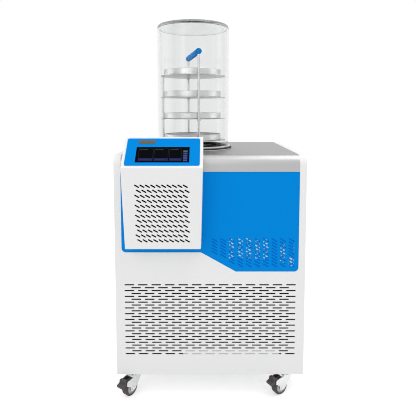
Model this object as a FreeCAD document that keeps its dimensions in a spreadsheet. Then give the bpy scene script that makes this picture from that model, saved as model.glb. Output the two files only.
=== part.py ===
"""Bench-side freeze dryer: a cabinet on casters with a steel top, a leaning control housing,
a clear drying chamber with a tray rack, and the cold trap and refrigeration inside.

Millimetres.  +Z is up and the front faces -Y.  The origin is on the floor, in the middle of the
whole machine.  Every size that can be set by itself is a cell of the sheet "Sizes"; everything
else is worked out from those cells.
"""
import FreeCAD, Part
import math
import os
import re

import Sketcher

V = FreeCAD.Vector

SIZES = {
    # cabinet
    "body_wide": 580, "body_deep": 540, "body_high": 685, "sheet": 1.5,
    "side_thick": 21, "side_lip": 20, "edge_round": 2,
    "roll_radius": 30, "apron_high": 50, "rear_flange": 20, "pan_flange": 25,
    "blue_high_left": 247, "blue_high_right": 307, "blue_corner": 13, "blue_tuck": 12,
    "slant_lead": 7, "slant_run": 106,
    # grille of the lower front panel
    "grille_long": 29.8, "grille_wide": 4.2, "grille_step_x": 41.2, "grille_step_z": 9.17,
    "grille_side": 4, "grille_foot": 66.5, "grille_head": 40,
    # slanting slots of the blue panel, and the backing sheet behind them
    "slot_long": 20, "slot_wide": 3.8, "slot_tilt": 32, "slot_step_x": 25.95, "slot_step_z": 9.83,
    "slot_side": 22, "slot_foot": 19.4, "slot_lead": 40,
    "backing_margin": 16,
    # windows of that sheet, in steps of the slots: across from the last column, up from row one
    "wide_window_left": 7.4, "wide_window_right": 2.65, "wide_window_low": 2,
    "wide_window_high": 8.6, "tall_window_left": 1.39, "tall_window_right": 0.58,
    "tall_window_low": 0.8, "tall_window_high": 7, "end_window_left": 0.42,
    "end_window_right": -0.54, "end_window_low": -0.9, "end_window_high": 8.2,
    "end_window_step": -0.25, "end_window_split": 2.5,
    # louvres of the rear panel
    "louvre_long": 70, "louvre_wide": 5, "louvre_step_x": 92, "louvre_step_z": 13,
    "louvre_side": 36, "louvre_end": 15, "louvre_rows": 9, "louvre_foot": 60, "overcut": 5,
    # control housing
    "housing_wide": 234, "housing_gap": 14, "housing_high": 242, "housing_draft": 6,
    "housing_proud": 70, "housing_proud_low": 50, "housing_drop": 271, "housing_wall": 2,
    "housing_run": 85, "housing_rise": 81.5, "housing_foot": 3, "housing_round": 3.5,
    "vent_long": 16.2, "vent_wide": 4.5, "vent_tilt": 30, "vent_step_x": 15.4, "vent_step_z": 14.8,
    "vent_shift": 5, "vent_columns": 10, "vent_pairs": 6, "vent_drop": 53,
    "fascia_side": 9, "fascia_foot": 8, "fascia_high": 104, "fascia_thick": 1.2,
    "fascia_corner": 6, "screen_wide": 155.5, "screen_high": 58.3, "screen_foot": 19.3,
    "screen_glass": 1.5, "screen_deep": 14, "screen_ledge": 3, "fit_gap": 0.15,
    "badge_wide": 48, "badge_high": 14, "badge_thick": 0.8, "badge_gap": 12,
    "badge_inset": 5,
    "board_thick": 1.6, "post_high": 4, "post_radius": 3,
    # drying chamber
    "jar_x": -59, "jar_back": 260, "jar_radius": 125, "jar_wall": 5, "jar_high": 411,
    "cap_thick": 12, "cap_round": 8, "gasket_lip": 11, "gasket_inset": 4, "gasket_seat": 2.5,
    "gasket_high": 5, "gasket_round": 2, "gasket_gap": 0.3,
    # cold trap
    "well_inset": 15, "well_deep": 200, "well_wall": 1.5, "well_round": 20, "flange_inset": 1.5,
    "flange_hole_gap": 0.5, "coil_tube": 4, "coil_gap": 0.2, "coil_turns": 7, "coil_step": 16,
    "coil_foot": 10, "header_drop": 15, "header_angle_one": -20, "header_angle_two": -160,
    "foam_gap": 0.6, "foam_thick": 34, "foam_floor": 40,
    # rack and trays
    "ring_bearing": 7, "ring_wide": 14, "ring_thick": 4, "rod_radius": 4, "rack_gap": 6,
    "rod_inset": 6.5, "rod_turn": 101.5, "shelf_thick": 1.5, "shelf_first": 23,
    "shelf_step": 74.5, "shelf_count": 4, "handle_radius": 10, "handle_lift": 74.5,
    "handle_round": 9,
    "tray_gap": 3.5, "tray_shift": -3, "tray_high": 20, "tray_wall": 1, "tray_round": 3,
    # refrigeration
    "pipe_radius": 4, "pipe_bend": 20, "shell_radius": 75, "shell_high": 190, "shell_round": 45,
    "shell_side": 110, "shell_rear": 150, "foot_plate_wide": 190, "foot_plate_deep": 130,
    "foot_plate_thick": 3, "grommet_radius": 11, "grommet_high": 14, "stub_high": 25,
    "stub_offset": 30, "seam_up": 85.5, "seam_proud": 4, "seam_high": 6,
    "terminal_wide": 48, "terminal_proud": 16, "terminal_deep": 40, "terminal_up": 95,
    "terminal_high": 55, "terminal_round": 3,
    "core_wide": 300, "core_high": 240, "core_thick": 44, "core_side": 60, "core_front": 40,
    "core_foot": 23, "stub_inset": 15, "stub_rise": 12,
    "shroud_radius": 108, "shroud_deep": 24, "fan_gap": 4, "fan_blades": 5, "fan_hub": 28,
    "fan_deep": 20, "blade_chord": 36, "blade_pitch": 28, "blade_thick": 2.5, "blade_root": 4,
    "shaft_radius": 4, "shaft_gap": 0.08, "shaft_seat": 21, "shaft_end_gap": 4,
    "motor_radius": 36, "motor_long": 42, "arm_wide": 14, "arm_thick": 2.5,
    "drier_radius": 12, "drier_high": 75, "drier_rise": 50, "drier_back": 135.5,
    "drier_neck": 5, "drier_cone": 9, "drier_round": 3,
    "discharge_rise": 70, "suction_rise": 120, "liquid_rise": 20, "feed_drop": 14,
    # rear fittings
    "port_proud": 45, "port_drop": 40, "port_radius": 14, "port_wall": 1.5, "port_plate": 50,
    "kf_radius": 20, "kf_thick": 4, "hole_gap": 0.5,
    "drain_radius": 6, "drain_wall": 1.2, "drain_low": 30, "valve_radius": 12, "valve_long": 30,
    "barb_radius": 7, "stem_radius": 4, "stem_gap": 0.1, "lever_long": 52, "lever_wide": 9,
    "lever_thick": 2, "lever_gap": 0.3, "nut_radius": 6.5, "nut_thick": 4,
    "inlet_side": 80, "inlet_up": 92, "inlet_wide": 50, "inlet_high": 64, "inlet_flange": 3,
    "inlet_deep": 32, "inlet_wall": 3, "inlet_round": 4, "recess_wide": 28, "recess_low": 24,
    "recess_high": 20, "recess_corner": 5, "recess_deep": 18, "blade_x": 7, "blade_z": 16,
    "earth_z": 11, "blade_wide": 2, "blade_high": 4, "blade_long": 13,
    "rocker_up": 15, "rocker_wide": 22, "rocker_high": 15, "rocker_tilt": 8,
    "rocker_gap": 0.6, "rocker_deep": 10, "rocker_taper": 2, "rocker_dip": 1,
    # power supply behind the slots
    "supply_high": 96, "supply_deep": 42, "supply_plate": 1.5, "supply_drop": 12,
    "supply_margin": 8, "supply_side": 3, "supply_inset": 4,
    # casters
    "caster_high": 70, "caster_side": 52, "caster_front": 27, "caster_rear": 45,
    "plate_long": 58, "plate_deep": 42, "plate_thick": 2.5, "plate_round": 4,
    "bolt_x": 22, "bolt_y": 14, "bolt_radius": 2.5, "bolt_head": 4.5, "head_high": 2.2,
    "race_radius": 16, "race_high": 5.5, "race_gap": 0.1, "king_radius": 4, "king_head": 6.5,
    "king_head_high": 1.5, "fork_wide": 29, "fork_gap": 24, "fork_top": 2.5, "fork_brow": 6,
    "fork_toe": 9, "fork_foot": 8, "fork_heel": 10, "fork_round": 4, "fork_back": 4,
    "fork_lip": 0.4, "ear": 6,
    "trail": 24, "trail_left": -35, "trail_right": -57, "wheel_radius": 25, "wheel_wide": 20,
    "tyre_thick": 7,
    "tyre_round": 3, "axle_radius": 3, "axle_gap": 0.08, "axle_head": 5.5, "axle_head_high": 2,
    "hub_dish": 3, "hub_boss": 7, "hub_lip": 3, "hub_draft": 1, "boss_gap": 0.3,
    "pedal_wide": 22, "pedal_back": 19, "pedal_up": 24, "pin_radius": 2, "pin_gap": 0.08,
    "pedal_long": 26, "pedal_nose": 5, "pedal_chin": 4.2, "pedal_belly": 6, "pedal_heel": 8,
    "lobe_high": 12, "lobe_near": 6, "lobe_far": 14, "lobe_notch": 4, "toe_high": -1,
    "toe_low": 9, "toe_tuck": 3, "pedal_throat": 2, "lobe_lean": 1, "pedal_round": 3,
    "pedal_bend": 4, "pedal_sweep": 5,
    # screws
    "screw_radius": 2, "screw_head": 4, "screw_head_high": 2.2, "screw_margin": 60,
    "side_screws": 4, "flange_screw_step": 148, "pan_screw_up": 15,
}

doc = FreeCAD.newDocument("freeze_dryer")
sheet = doc.addObject("Spreadsheet::Sheet", "Sizes")
for row, (alias, size) in enumerate(SIZES.items(), start=1):
    sheet.set(f"A{row}", alias)
    sheet.set(f"B{row}", str(size))
    sheet.setAlias(f"B{row}", alias)
doc.recompute()

# Places that several pieces share, as expressions of the sizes.
NAMES = {
    "FRONT": "(housing_proud - (housing_proud + body_deep + port_proud) / 2)",
    "REAR": "(FRONT + body_deep)",
    "TOP": "(caster_high + body_high)",
    "SIDE": "(body_wide / 2)",
    "INNER": "(body_wide / 2 - side_thick)",
    "APRON": "(TOP - apron_high)",
    "HOUSING_LEFT": "(housing_gap - INNER)",
    "HOUSING_X": "(HOUSING_LEFT + housing_wide / 2)",
    "HOUSING_LOW": "(TOP - housing_drop)",
    "CREASE": "(HOUSING_LOW + housing_high)",
    "SLANT_X": "(HOUSING_LEFT + housing_wide - slant_lead)",
    "BLUE_LEFT": "(APRON - blue_high_left)",
    "BLUE_RIGHT": "(APRON - blue_high_right)",
    "SLOPE": "atan(housing_rise / housing_run)",
    "SLOT_COUNT": "(floor((INNER - slot_side - SLANT_X - slot_lead) / slot_step_x) + 1)",
    "SLOT_X": "(LAST_SLOT_X - (SLOT_COUNT - 1) * slot_step_x)",
    "SLOT_Z": "(BLUE_RIGHT + slot_foot)",
    "GRILLE_COUNT": "(floor((2 * (INNER - grille_side) - grille_long) / grille_step_x) + 1)",
    "GRILLE_PAIRS": "(floor((BLUE_RIGHT - caster_high - grille_foot - grille_head) / (2 * grille_step_z)))",
    "LOUVRE_COUNT": "(floor((INLET_X - inlet_wide / 2 + INNER - louvre_side - louvre_long"
                    " - louvre_end) / louvre_step_x) + 1)",
    "JAR_Y": "(FRONT + jar_back)",
    "BORE": "(jar_radius - jar_wall)",
    "WELL": "(BORE - well_inset)",
    "WELL_OUT": "(WELL + well_wall)",
    "WELL_LOW": "(TOP - well_deep)",
    "SEAT": "(TOP + sheet)",
    "JAR_LOW": "(SEAT + gasket_seat)",
    "RING": "(WELL + ring_bearing)",
    "GASKET_BORE": "(RING + gasket_inset)",
    "GASKET": "(jar_radius + gasket_lip)",
    "JAR_TOP": "(JAR_LOW + jar_high)",
    "COIL": "(WELL_OUT + coil_gap + coil_tube)",
    "FOAM_IN": "(COIL + coil_tube + foam_gap)",
    "FOAM_LOW": "(WELL_LOW - foam_floor)",
    "HEADER_LOW": "(FOAM_LOW - header_drop)",
    "HEADER_ONE_X": "(jar_x + COIL * cos(header_angle_one * 1deg))",
    "HEADER_ONE_Y": "(JAR_Y + COIL * sin(header_angle_one * 1deg))",
    "HEADER_TWO_X": "(jar_x + COIL * cos(header_angle_two * 1deg))",
    "HEADER_TWO_Y": "(JAR_Y + COIL * sin(header_angle_two * 1deg))",
    "RING_TOP": "(SEAT + ring_thick)",
    "SHELF": "(BORE - rack_gap)",
    "ROD_CIRCLE": "(SHELF - rod_inset)",
    "SHELF_Z": "(RING_TOP + shelf_first)",
    "TOP_SHELF": "(SHELF_Z + (shelf_count - 1) * shelf_step)",
    "HANDLE_Z": "(TOP_SHELF + handle_lift)",
    "TRAY": "(ROD_CIRCLE - rod_radius - tray_gap)",
    "FLOOR": "(caster_high + sheet)",
    "SHELL_X": "(INNER - shell_side)",
    "SHELL_Y": "(REAR - shell_rear)",
    "SHELL_LOW": "(FLOOR + grommet_high)",
    "SHELL_TOP": "(SHELL_LOW + foot_plate_thick + shell_high)",
    "CORE_LEFT": "(core_side - INNER)",
    "CORE_X": "(CORE_LEFT + core_wide / 2)",
    "CORE_Y": "(FRONT + core_front)",
    "CORE_BACK": "(CORE_Y + core_thick)",
    "CORE_LOW": "(FLOOR + core_foot)",
    "CORE_TOP": "(CORE_LOW + core_high)",
    "CORE_Z": "(CORE_LOW + core_high / 2)",
    "PORT_Z": "(TOP - port_drop)",
    "DRAIN_Z": "(FOAM_LOW - drain_low)",
    "INLET_X": "(INNER - inlet_side)",
    "INLET_Z": "(caster_high + inlet_up)",
    "BACKING_Y": "(FRONT + 2 * sheet)",
    "LAST_SLOT_X": "(INNER - slot_side)",
    "WINDOW_X": "(LAST_SLOT_X - wide_window_left * slot_step_x)",
    "WINDOW_END": "(LAST_SLOT_X - wide_window_right * slot_step_x)",
    "SUPPLY_LOW": "(SLOT_Z - supply_drop)",
    "AXLE_Z": "(wheel_radius - caster_high)",
}


def full(text):
    """An expression in plain size names, written out with the sheet's name before each one."""
    text = str(text)
    while True:
        longer = re.sub(r"\b[A-Z][A-Z_]+\b", lambda m: NAMES.get(m.group(), m.group()), text)
        if longer == text:
            break
        text = longer
    return re.sub(r"(?<![\w.])[a-z][a-z_]*\b(?!\()",
                  lambda m: f"Sizes.{m.group()}" if m.group() in SIZES else m.group(), text)


def num(text):
    """What an expression comes to, as a plain number."""
    answer = sheet.evalExpression(full(text))
    return float(getattr(answer, "Value", answer))


def bind(thing, prop, text):
    """Tie a property of an object to an expression of the sizes."""
    thing.setExpression(prop, full(text))


def place(thing, x="0", y="0", z="0"):
    """Tie the place of an object."""
    for axis, text in (("x", x), ("y", y), ("z", z)):
        if str(text) != "0":
            bind(thing, f"Placement.Base.{axis}", text)


def turn(thing, axis, text):
    """Tie the turn of an object about one axis through its own origin."""
    thing.Placement = FreeCAD.Placement(thing.Placement.Base, FreeCAD.Rotation(axis, 1))
    bind(thing, "Placement.Rotation.Angle", text)


def new_body(label):
    """An empty PartDesign body."""
    body = doc.addObject("PartDesign::Body", label)
    body.Label = label
    return body


def sketch(body, role, at="0"):
    """A sketch on one of the body's own planes: "XY", "XZ" or "YZ", at a distance along its axis."""
    flat = [f for f in body.Origin.OriginFeatures if f.Role == f"{role}_Plane"][0]
    sk = body.newObject("Sketcher::SketchObject", f"{body.Name}_sketch")
    sk.AttachmentSupport = [(flat, "")]
    sk.MapMode = "FlatFace"
    if str(at) != "0":
        # the XZ plane looks along -Y, so its offset runs the other way
        bind(sk, "AttachmentOffset.Base.z", f"-({at})" if role == "XZ" else at)
    return sk


def pin_point(sk, geo, pos, u, v):
    """Fix one point of a sketch at (u, v), both tied to the sizes."""
    for kind, text in (("DistanceX", u), ("DistanceY", v)):
        if abs(num(text)) < 1e-9 and str(text) == "0":
            line = -2 if kind == "DistanceX" else -1
            sk.addConstraint(Sketcher.Constraint("PointOnObject", geo, pos, line))
            continue
        index = sk.addConstraint(Sketcher.Constraint(kind, -1, 1, geo, pos, num(text)))
        bind(sk, f"Constraints[{index}]", text)


def outline(sk, corners):
    """A closed outline of straight runs.  A corner is (u, v), or (u, v, radius) where it is round."""
    count = len(corners)
    spots = [V(num(c[0]), num(c[1]), 0) for c in corners]
    radii = [num(c[2]) if len(c) > 2 else 0 for c in corners]
    cuts = []
    for i in range(count):
        before = (spots[i - 1] - spots[i]).normalize()
        after = (spots[(i + 1) % count] - spots[i]).normalize()
        reach = radii[i] / math.tan(before.getAngle(after) / 2) if radii[i] else 0
        cuts.append((spots[i] + before * reach, spots[i] + after * reach))
    lines = [sk.addGeometry(Part.LineSegment(cuts[i][1], cuts[(i + 1) % count][0]))
             for i in range(count)]
    for i in range(count):
        last, this = lines[i - 1], lines[i]
        if not radii[i]:
            sk.addConstraint(Sketcher.Constraint("Coincident", last, 2, this, 1))
            pin_point(sk, this, 1, corners[i][0], corners[i][1])
            continue
        inward = ((cuts[i][0] + cuts[i][1]) / 2 - spots[i]).normalize()
        half = (spots[i - 1] - spots[i]).getAngle(spots[(i + 1) % count] - spots[i]) / 2
        centre = spots[i] + inward * (radii[i] / math.sin(half))
        # an arc of a sketch always runs anticlockwise
        onward = (cuts[i][0] - centre).cross(cuts[i][1] - centre).z > 0
        ends = cuts[i] if onward else cuts[i][::-1]
        start, stop = [math.atan2(p.y - centre.y, p.x - centre.x) for p in ends]
        rim = Part.Circle(centre, V(0, 0, 1), radii[i])
        bend = sk.addGeometry(Part.ArcOfCircle(rim, start, stop if stop > start
                                               else stop + 2 * math.pi))
        first, second = (1, 2) if onward else (2, 1)
        corner = sk.addGeometry(Part.Point(spots[i]), True)
        pin_point(sk, corner, 1, corners[i][0], corners[i][1])
        sk.addConstraint(Sketcher.Constraint("PointOnObject", corner, 1, last))
        sk.addConstraint(Sketcher.Constraint("PointOnObject", corner, 1, this))
        sk.addConstraint(Sketcher.Constraint("Tangent", last, 2, bend, first))
        sk.addConstraint(Sketcher.Constraint("Tangent", bend, second, this, 1))
        index = sk.addConstraint(Sketcher.Constraint("Radius", bend, radii[i]))
        bind(sk, f"Constraints[{index}]", corners[i][2])
    return sk


def rectangle(sk, left, right, low, high, radius=None):
    """A rectangle, with round corners where a radius is given."""
    spots = [(left, low), (right, low), (right, high), (left, high)]
    return outline(sk, [spot + (radius,) if radius else spot for spot in spots])


def circle(sk, u, v, radius):
    """A circle."""
    geo = sk.addGeometry(Part.Circle(V(num(u), num(v), 0), V(0, 0, 1), num(radius)))
    pin_point(sk, geo, 3, u, v)
    index = sk.addConstraint(Sketcher.Constraint("Radius", geo, num(radius)))
    bind(sk, f"Constraints[{index}]", radius)
    return sk


def slot(sk, u, v, length, width, tilt="0"):
    """A round-ended slot about (u, v); a positive tilt lowers its right end."""
    reach = f"(({length}) - ({width})) / 2"
    rise = f"{reach} * sin(({tilt}) * 1deg)"
    run = f"{reach} * cos(({tilt}) * 1deg)"
    ends = [(f"({u}) - {run}", f"({v}) + {rise}"), (f"({u}) + {run}", f"({v}) - {rise}")]
    (ax, az), (bx, bz) = [(num(a), num(b)) for a, b in ends]
    radius, lean = num(width) / 2, -math.radians(num(tilt))
    side = V(-math.sin(lean), math.cos(lean), 0) * radius
    one, two = V(ax, az, 0), V(bx, bz, 0)
    quarter = math.pi / 2
    left = sk.addGeometry(Part.ArcOfCircle(Part.Circle(one, V(0, 0, 1), radius),
                                           quarter + lean, 3 * quarter + lean))
    right = sk.addGeometry(Part.ArcOfCircle(Part.Circle(two, V(0, 0, 1), radius),
                                            -quarter + lean, quarter + lean))
    upper = sk.addGeometry(Part.LineSegment(one + side, two + side))
    lower = sk.addGeometry(Part.LineSegment(one - side, two - side))
    pin_point(sk, left, 3, *ends[0])
    pin_point(sk, right, 3, *ends[1])
    for a, b, c, d in ((left, 1, upper, 1), (left, 2, lower, 1),
                       (upper, 2, right, 2), (lower, 2, right, 1)):
        sk.addConstraint(Sketcher.Constraint("Tangent", a, b, c, d))
    index = sk.addConstraint(Sketcher.Constraint("Radius", left, radius))
    bind(sk, f"Constraints[{index}]", f"({width}) / 2")
    return sk


def pad(body, sk, length, both=False, back=False):
    """Material from a sketch: along its normal, against it (back), or half each way (both)."""
    feature = body.newObject("PartDesign::Pad", f"{body.Name}_pad")
    feature.Profile = sk
    feature.Midplane = both
    feature.Reversed = back
    bind(feature, "Length", length)
    return feature


def pocket(body, sk, depth, both=False, back=False):
    """A cut from a sketch: against its normal, along it (back), or half each way (both)."""
    doc.recompute()
    before = body.Shape.Volume
    feature = body.newObject("PartDesign::Pocket", f"{body.Name}_pocket")
    feature.Profile = sk
    feature.Midplane = both
    feature.Reversed = back
    bind(feature, "Length", depth)
    doc.recompute()
    if body.Shape.Volume > before - 1e-6:
        raise RuntimeError(f"{body.Label}: a pocket cuts nothing")
    return feature


def revolve(body, sk, axis="V_Axis"):
    """A turned piece, about one axis of its sketch."""
    feature = body.newObject("PartDesign::Revolution", f"{body.Name}_turned")
    feature.Profile = sk
    feature.ReferenceAxis = (sk, [axis])
    feature.Angle = 360
    return feature


def repeat(body, feature, sk, columns, step_x, rows=None, step_y=None):
    """Copies of a feature in columns along the sketch's own u axis and rows along its v axis."""
    pattern = body.newObject("PartDesign::LinearPattern", f"{body.Name}_pattern")
    pattern.Originals = [feature]
    pattern.Direction = (sk, ["H_Axis"])
    bind(pattern, "Occurrences", columns)
    bind(pattern, "Length", f"(({columns}) - 1) * ({step_x})")
    if rows:
        pattern.Direction2 = (sk, ["V_Axis"])
        bind(pattern, "Occurrences2", rows)
        bind(pattern, "Length2", f"(({rows}) - 1) * ({step_y})")
    body.Tip = pattern
    return pattern


def round_edges(body, radius, wanted):
    """Round the edges of the body's last feature for which wanted(edge) is true."""
    doc.recompute()
    base = body.Tip
    names = [f"Edge{i}" for i, edge in enumerate(base.Shape.Edges, start=1) if wanted(edge)]
    if not names:
        raise RuntimeError(f"{body.Label}: no edge to round")
    feature = body.newObject("PartDesign::Fillet", f"{body.Name}_round")
    feature.Base = (base, names)
    bind(feature, "Radius", radius)
    doc.recompute()
    return feature


def pipe(label, points, radius, bend):
    """A tube's outer shape along straight runs joined by tangent arcs, as one solid."""
    spots = [V(*(num(c) for c in point)) for point in points]
    edges, start = [], spots[0]
    for before, corner, after in zip(spots, spots[1:], spots[2:]):
        back, ahead = (before - corner).normalize(), (after - corner).normalize()
        half = back.getAngle(ahead) / 2
        room = min((before - corner).Length, (after - corner).Length) / 2 * 0.98
        round_off = min(num(bend), room * math.tan(half))
        reach = round_off / math.tan(half)
        one, two = corner + back * reach, corner + ahead * reach
        inward = (back + ahead).normalize()
        middle = corner + inward * (round_off / math.sin(half) - round_off)
        edges += [Part.LineSegment(start, one).toShape(), Part.Arc(one, middle, two).toShape()]
        start = two
    edges.append(Part.LineSegment(start, spots[-1]).toShape())
    path = Part.Wire(edges)
    ring = Part.Wire(Part.makeCircle(num(radius), spots[0], spots[1] - spots[0]))
    solid = path.makePipeShell([ring], True, False)
    if abs(solid.Volume / (math.pi * num(radius) ** 2 * path.Length) - 1) > 0.01:
        raise RuntimeError(f"{label}: the pipe's volume is not its section times its length")
    return solid


def bare(label, shape):
    """A piece whose shape this file works out itself."""
    thing = doc.addObject("Part::Feature", label)
    thing.Label = label
    thing.Shape = shape
    return thing


# ---------------------------------------------------------------- cabinet

def side_panel(label, hand):
    """A folded side panel: outer skin, edge flanges all round and a lip inside them."""
    def face(at, inset, corner):
        sk = sketch(body, "YZ", f"{hand} * ({at})")
        front, rear = f"FRONT + {inset}", f"REAR - sheet - ({inset})"
        low, high = f"caster_high + {inset}", f"TOP - ({inset})"
        return outline(sk, [(front, low), (rear, low), (rear, high), (front, high, corner)])

    body = new_body(label)
    outward = hand > 0
    pad(body, face("INNER", "0", "roll_radius"), "side_thick", back=not outward)
    cavity = face("INNER + sheet", "sheet", "roll_radius - sheet")
    pocket(body, cavity, "side_thick - 2 * sheet", back=outward)
    pocket(body, face("INNER", "side_lip", "roll_radius - sheet"), "sheet", back=outward)
    screws = sketch(body, "XZ", "REAR - sheet")
    for z in screw_rows():
        circle(screws, f"{hand} * (SIDE - side_thick / 2)", z, "screw_radius")
    pocket(body, screws, "sheet", back=True)
    outer = hand * num("SIDE")
    round_edges(body, "edge_round",
                lambda e: all(abs(v.Point.x - outer) < 1e-4 for v in e.Vertexes))


def screw_rows():
    """Heights of the screws down each side of the rear panel."""
    step = "(body_high - 2 * screw_margin) / (side_screws - 1)"
    return [f"caster_high + screw_margin + {i} * {step}" for i in range(SIZES["side_screws"])]


def flange_screws(z):
    """Three screw places along a horizontal flange."""
    return [(f"{i} * flange_screw_step", z) for i in (-1, 0, 1)]


COVER_SCREW_Z = "TOP - rear_flange / 2"
PAN_SCREW_Z = "caster_high + pan_screw_up"


def top_cover():
    """The steel top: flat, rolled over at the front into an apron, with a hole for the trap."""
    body = new_body("top_cover")
    roll = sketch(body, "YZ")
    outline(roll, [("REAR - sheet", "TOP"), ("FRONT", "TOP", "roll_radius"), ("FRONT", "APRON"),
                   ("FRONT + sheet", "APRON"),
                   ("FRONT + sheet", "TOP - sheet", "roll_radius - sheet"),
                   ("REAR - 2 * sheet", "TOP - sheet"),
                   ("REAR - 2 * sheet", "TOP - rear_flange"),
                   ("REAR - sheet", "TOP - rear_flange")])
    pad(body, roll, "2 * INNER", both=True)
    mouth = circle(sketch(body, "XY", "TOP"), "jar_x", "JAR_Y", "WELL_OUT + flange_hole_gap")
    pocket(body, mouth, "2 * sheet")
    screws = sketch(body, "XZ", "REAR - sheet")
    for x, z in flange_screws(COVER_SCREW_Z):
        circle(screws, x, z, "screw_radius")
    pocket(body, screws, "sheet", back=True)


def base_pan():
    """The floor of the cabinet: a tray with turned-up edges that carries everything inside."""
    body = new_body("base_pan")
    area = rectangle(sketch(body, "XY", "caster_high"), "-INNER", "INNER",
                     "FRONT + sheet", "REAR - sheet")
    pad(body, area, "pan_flange")
    inside = rectangle(sketch(body, "XY", "caster_high + pan_flange"), "sheet - INNER",
                       "INNER - sheet", "FRONT + 2 * sheet", "REAR - 2 * sheet")
    pocket(body, inside, "pan_flange - sheet")
    bolts = sketch(body, "XY", "FLOOR")
    for x, y in bolt_spots():
        circle(bolts, x, y, "bolt_radius")
    pocket(body, bolts, "sheet")
    screws = sketch(body, "XZ", "REAR - sheet")
    for x, z in flange_screws(PAN_SCREW_Z):
        circle(screws, x, z, "screw_radius")
    pocket(body, screws, "sheet", back=True)


def rear_panel():
    """The removable back, with louvres and holes for what comes out of it."""
    body = new_body("rear_panel")
    edge = "(SIDE - edge_round - hole_gap)"
    plate = rectangle(sketch(body, "XZ", "REAR"), f"-{edge}", edge, "caster_high",
                      "TOP - hole_gap")
    pad(body, plate, "sheet")
    holes = sketch(body, "XZ", "REAR")
    for z in screw_rows():
        for hand in (-1, 1):
            circle(holes, f"{hand} * (SIDE - side_thick / 2)", z, "screw_radius")
    for x, z in flange_screws(COVER_SCREW_Z) + flange_screws(PAN_SCREW_Z):
        circle(holes, x, z, "screw_radius")
    circle(holes, "jar_x", "PORT_Z", "port_radius + hole_gap")
    circle(holes, "jar_x", "DRAIN_Z", "drain_radius + hole_gap")
    half_wide = "(inlet_wide / 2 - inlet_wall + fit_gap)"
    half_high = "(inlet_high / 2 - inlet_wall + fit_gap)"
    rectangle(holes, f"INLET_X - {half_wide}", f"INLET_X + {half_wide}",
              f"INLET_Z - {half_high}", f"INLET_Z + {half_high}")
    pocket(body, holes, "sheet", back=True)
    louvre = slot(sketch(body, "XZ", "REAR"), "louvre_side + louvre_long / 2 - INNER",
                  "caster_high + louvre_foot", "louvre_long", "louvre_wide")
    cut = pocket(body, louvre, "sheet", back=True)
    repeat(body, cut, louvre, "LOUVRE_COUNT", "louvre_step_x", "louvre_rows", "louvre_step_z")


def cabinet_screws():
    """Pan-head screws that hold the rear panel, as one group."""
    body = new_body("cabinet_screws")
    spots = [(f"{hand} * (SIDE - side_thick / 2)", z) for hand in (-1, 1) for z in screw_rows()]
    spots += flange_screws(COVER_SCREW_Z) + flange_screws(PAN_SCREW_Z)
    for radius, length, back in (("screw_radius", "3 * sheet", False),
                                 ("screw_head", "screw_head_high", True)):
        sk = sketch(body, "XZ", "REAR")
        for x, z in spots:
            circle(sk, x, z, radius)
        pad(body, sk, length, back=back)


def lower_front_panel():
    """The white lower front: a slanting shoulder under the blue panel and rows of slots."""
    body = new_body("lower_front_panel")
    sheet_area = rectangle(sketch(body, "XZ", "FRONT"), "-INNER", "INNER", "caster_high",
                           "BLUE_LEFT + blue_corner")
    pad(body, sheet_area, "sheet", back=True)
    window = sketch(body, "XZ", "FRONT")
    high = "BLUE_LEFT + 2 * blue_corner"
    outline(window, [("-INNER", "BLUE_LEFT", "blue_corner"), ("SLANT_X", "BLUE_LEFT"),
                     ("SLANT_X + slant_run", "BLUE_RIGHT"),
                     ("INNER", "BLUE_RIGHT", "blue_corner"), ("INNER", high), ("-INNER", high)])
    pocket(body, window, "sheet")
    for extra, up in ((0, "0"), (1, "grille_step_z")):
        # every second row has one slot fewer, and stands half a step over
        columns, rows = f"(GRILLE_COUNT - {extra})", f"(GRILLE_PAIRS + {1 - extra})"
        first = f"-({columns} - 1) / 2 * grille_step_x"
        hole = slot(sketch(body, "XZ", "FRONT"), first, f"caster_high + grille_foot + {up}",
                    "grille_long", "grille_wide")
        cut = pocket(body, hole, "sheet")
        repeat(body, cut, hole, columns, "grille_step_x", rows, "2 * grille_step_z")


# The slanting slots step down to the left with the slanting edge: first column, its rows.
SLOT_GROUPS = ((0, (4, 5, 6, 7, 8)), (1, (3,)), (2, (1, 2)), (3, (0,)))
SLOT_ROWS = 9


def upper_front_panel():
    """The blue upper front, behind its surround, with slanting slots at the lower right."""
    body = new_body("upper_front_panel")
    low_left, low_right = "BLUE_LEFT - blue_tuck", "BLUE_RIGHT - blue_tuck"
    sk = sketch(body, "XZ", "FRONT + sheet")
    outline(sk, [("-INNER", low_left), ("SLANT_X", low_left), ("SLANT_X + slant_run", low_right),
                 ("INNER", low_right), ("INNER", "APRON + blue_tuck"),
                 ("-INNER", "APRON + blue_tuck")])
    pad(body, sk, "sheet", back=True)
    for column, rows in SLOT_GROUPS:
        holes = sketch(body, "XZ", "FRONT + sheet")
        for row in rows:
            slot(holes, f"SLOT_X + {column} * slot_step_x", f"SLOT_Z + {row} * slot_step_z",
                 "slot_long", "slot_wide", "slot_tilt")
        cut = pocket(body, holes, "sheet")
        repeat(body, cut, holes, f"(SLOT_COUNT - {column})", "slot_step_x")


def window_spot(across, up):
    """A place on the backing sheet, counted in steps of the slots."""
    return f"LAST_SLOT_X - {across} * slot_step_x", f"SLOT_Z + {up} * slot_step_z"


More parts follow.
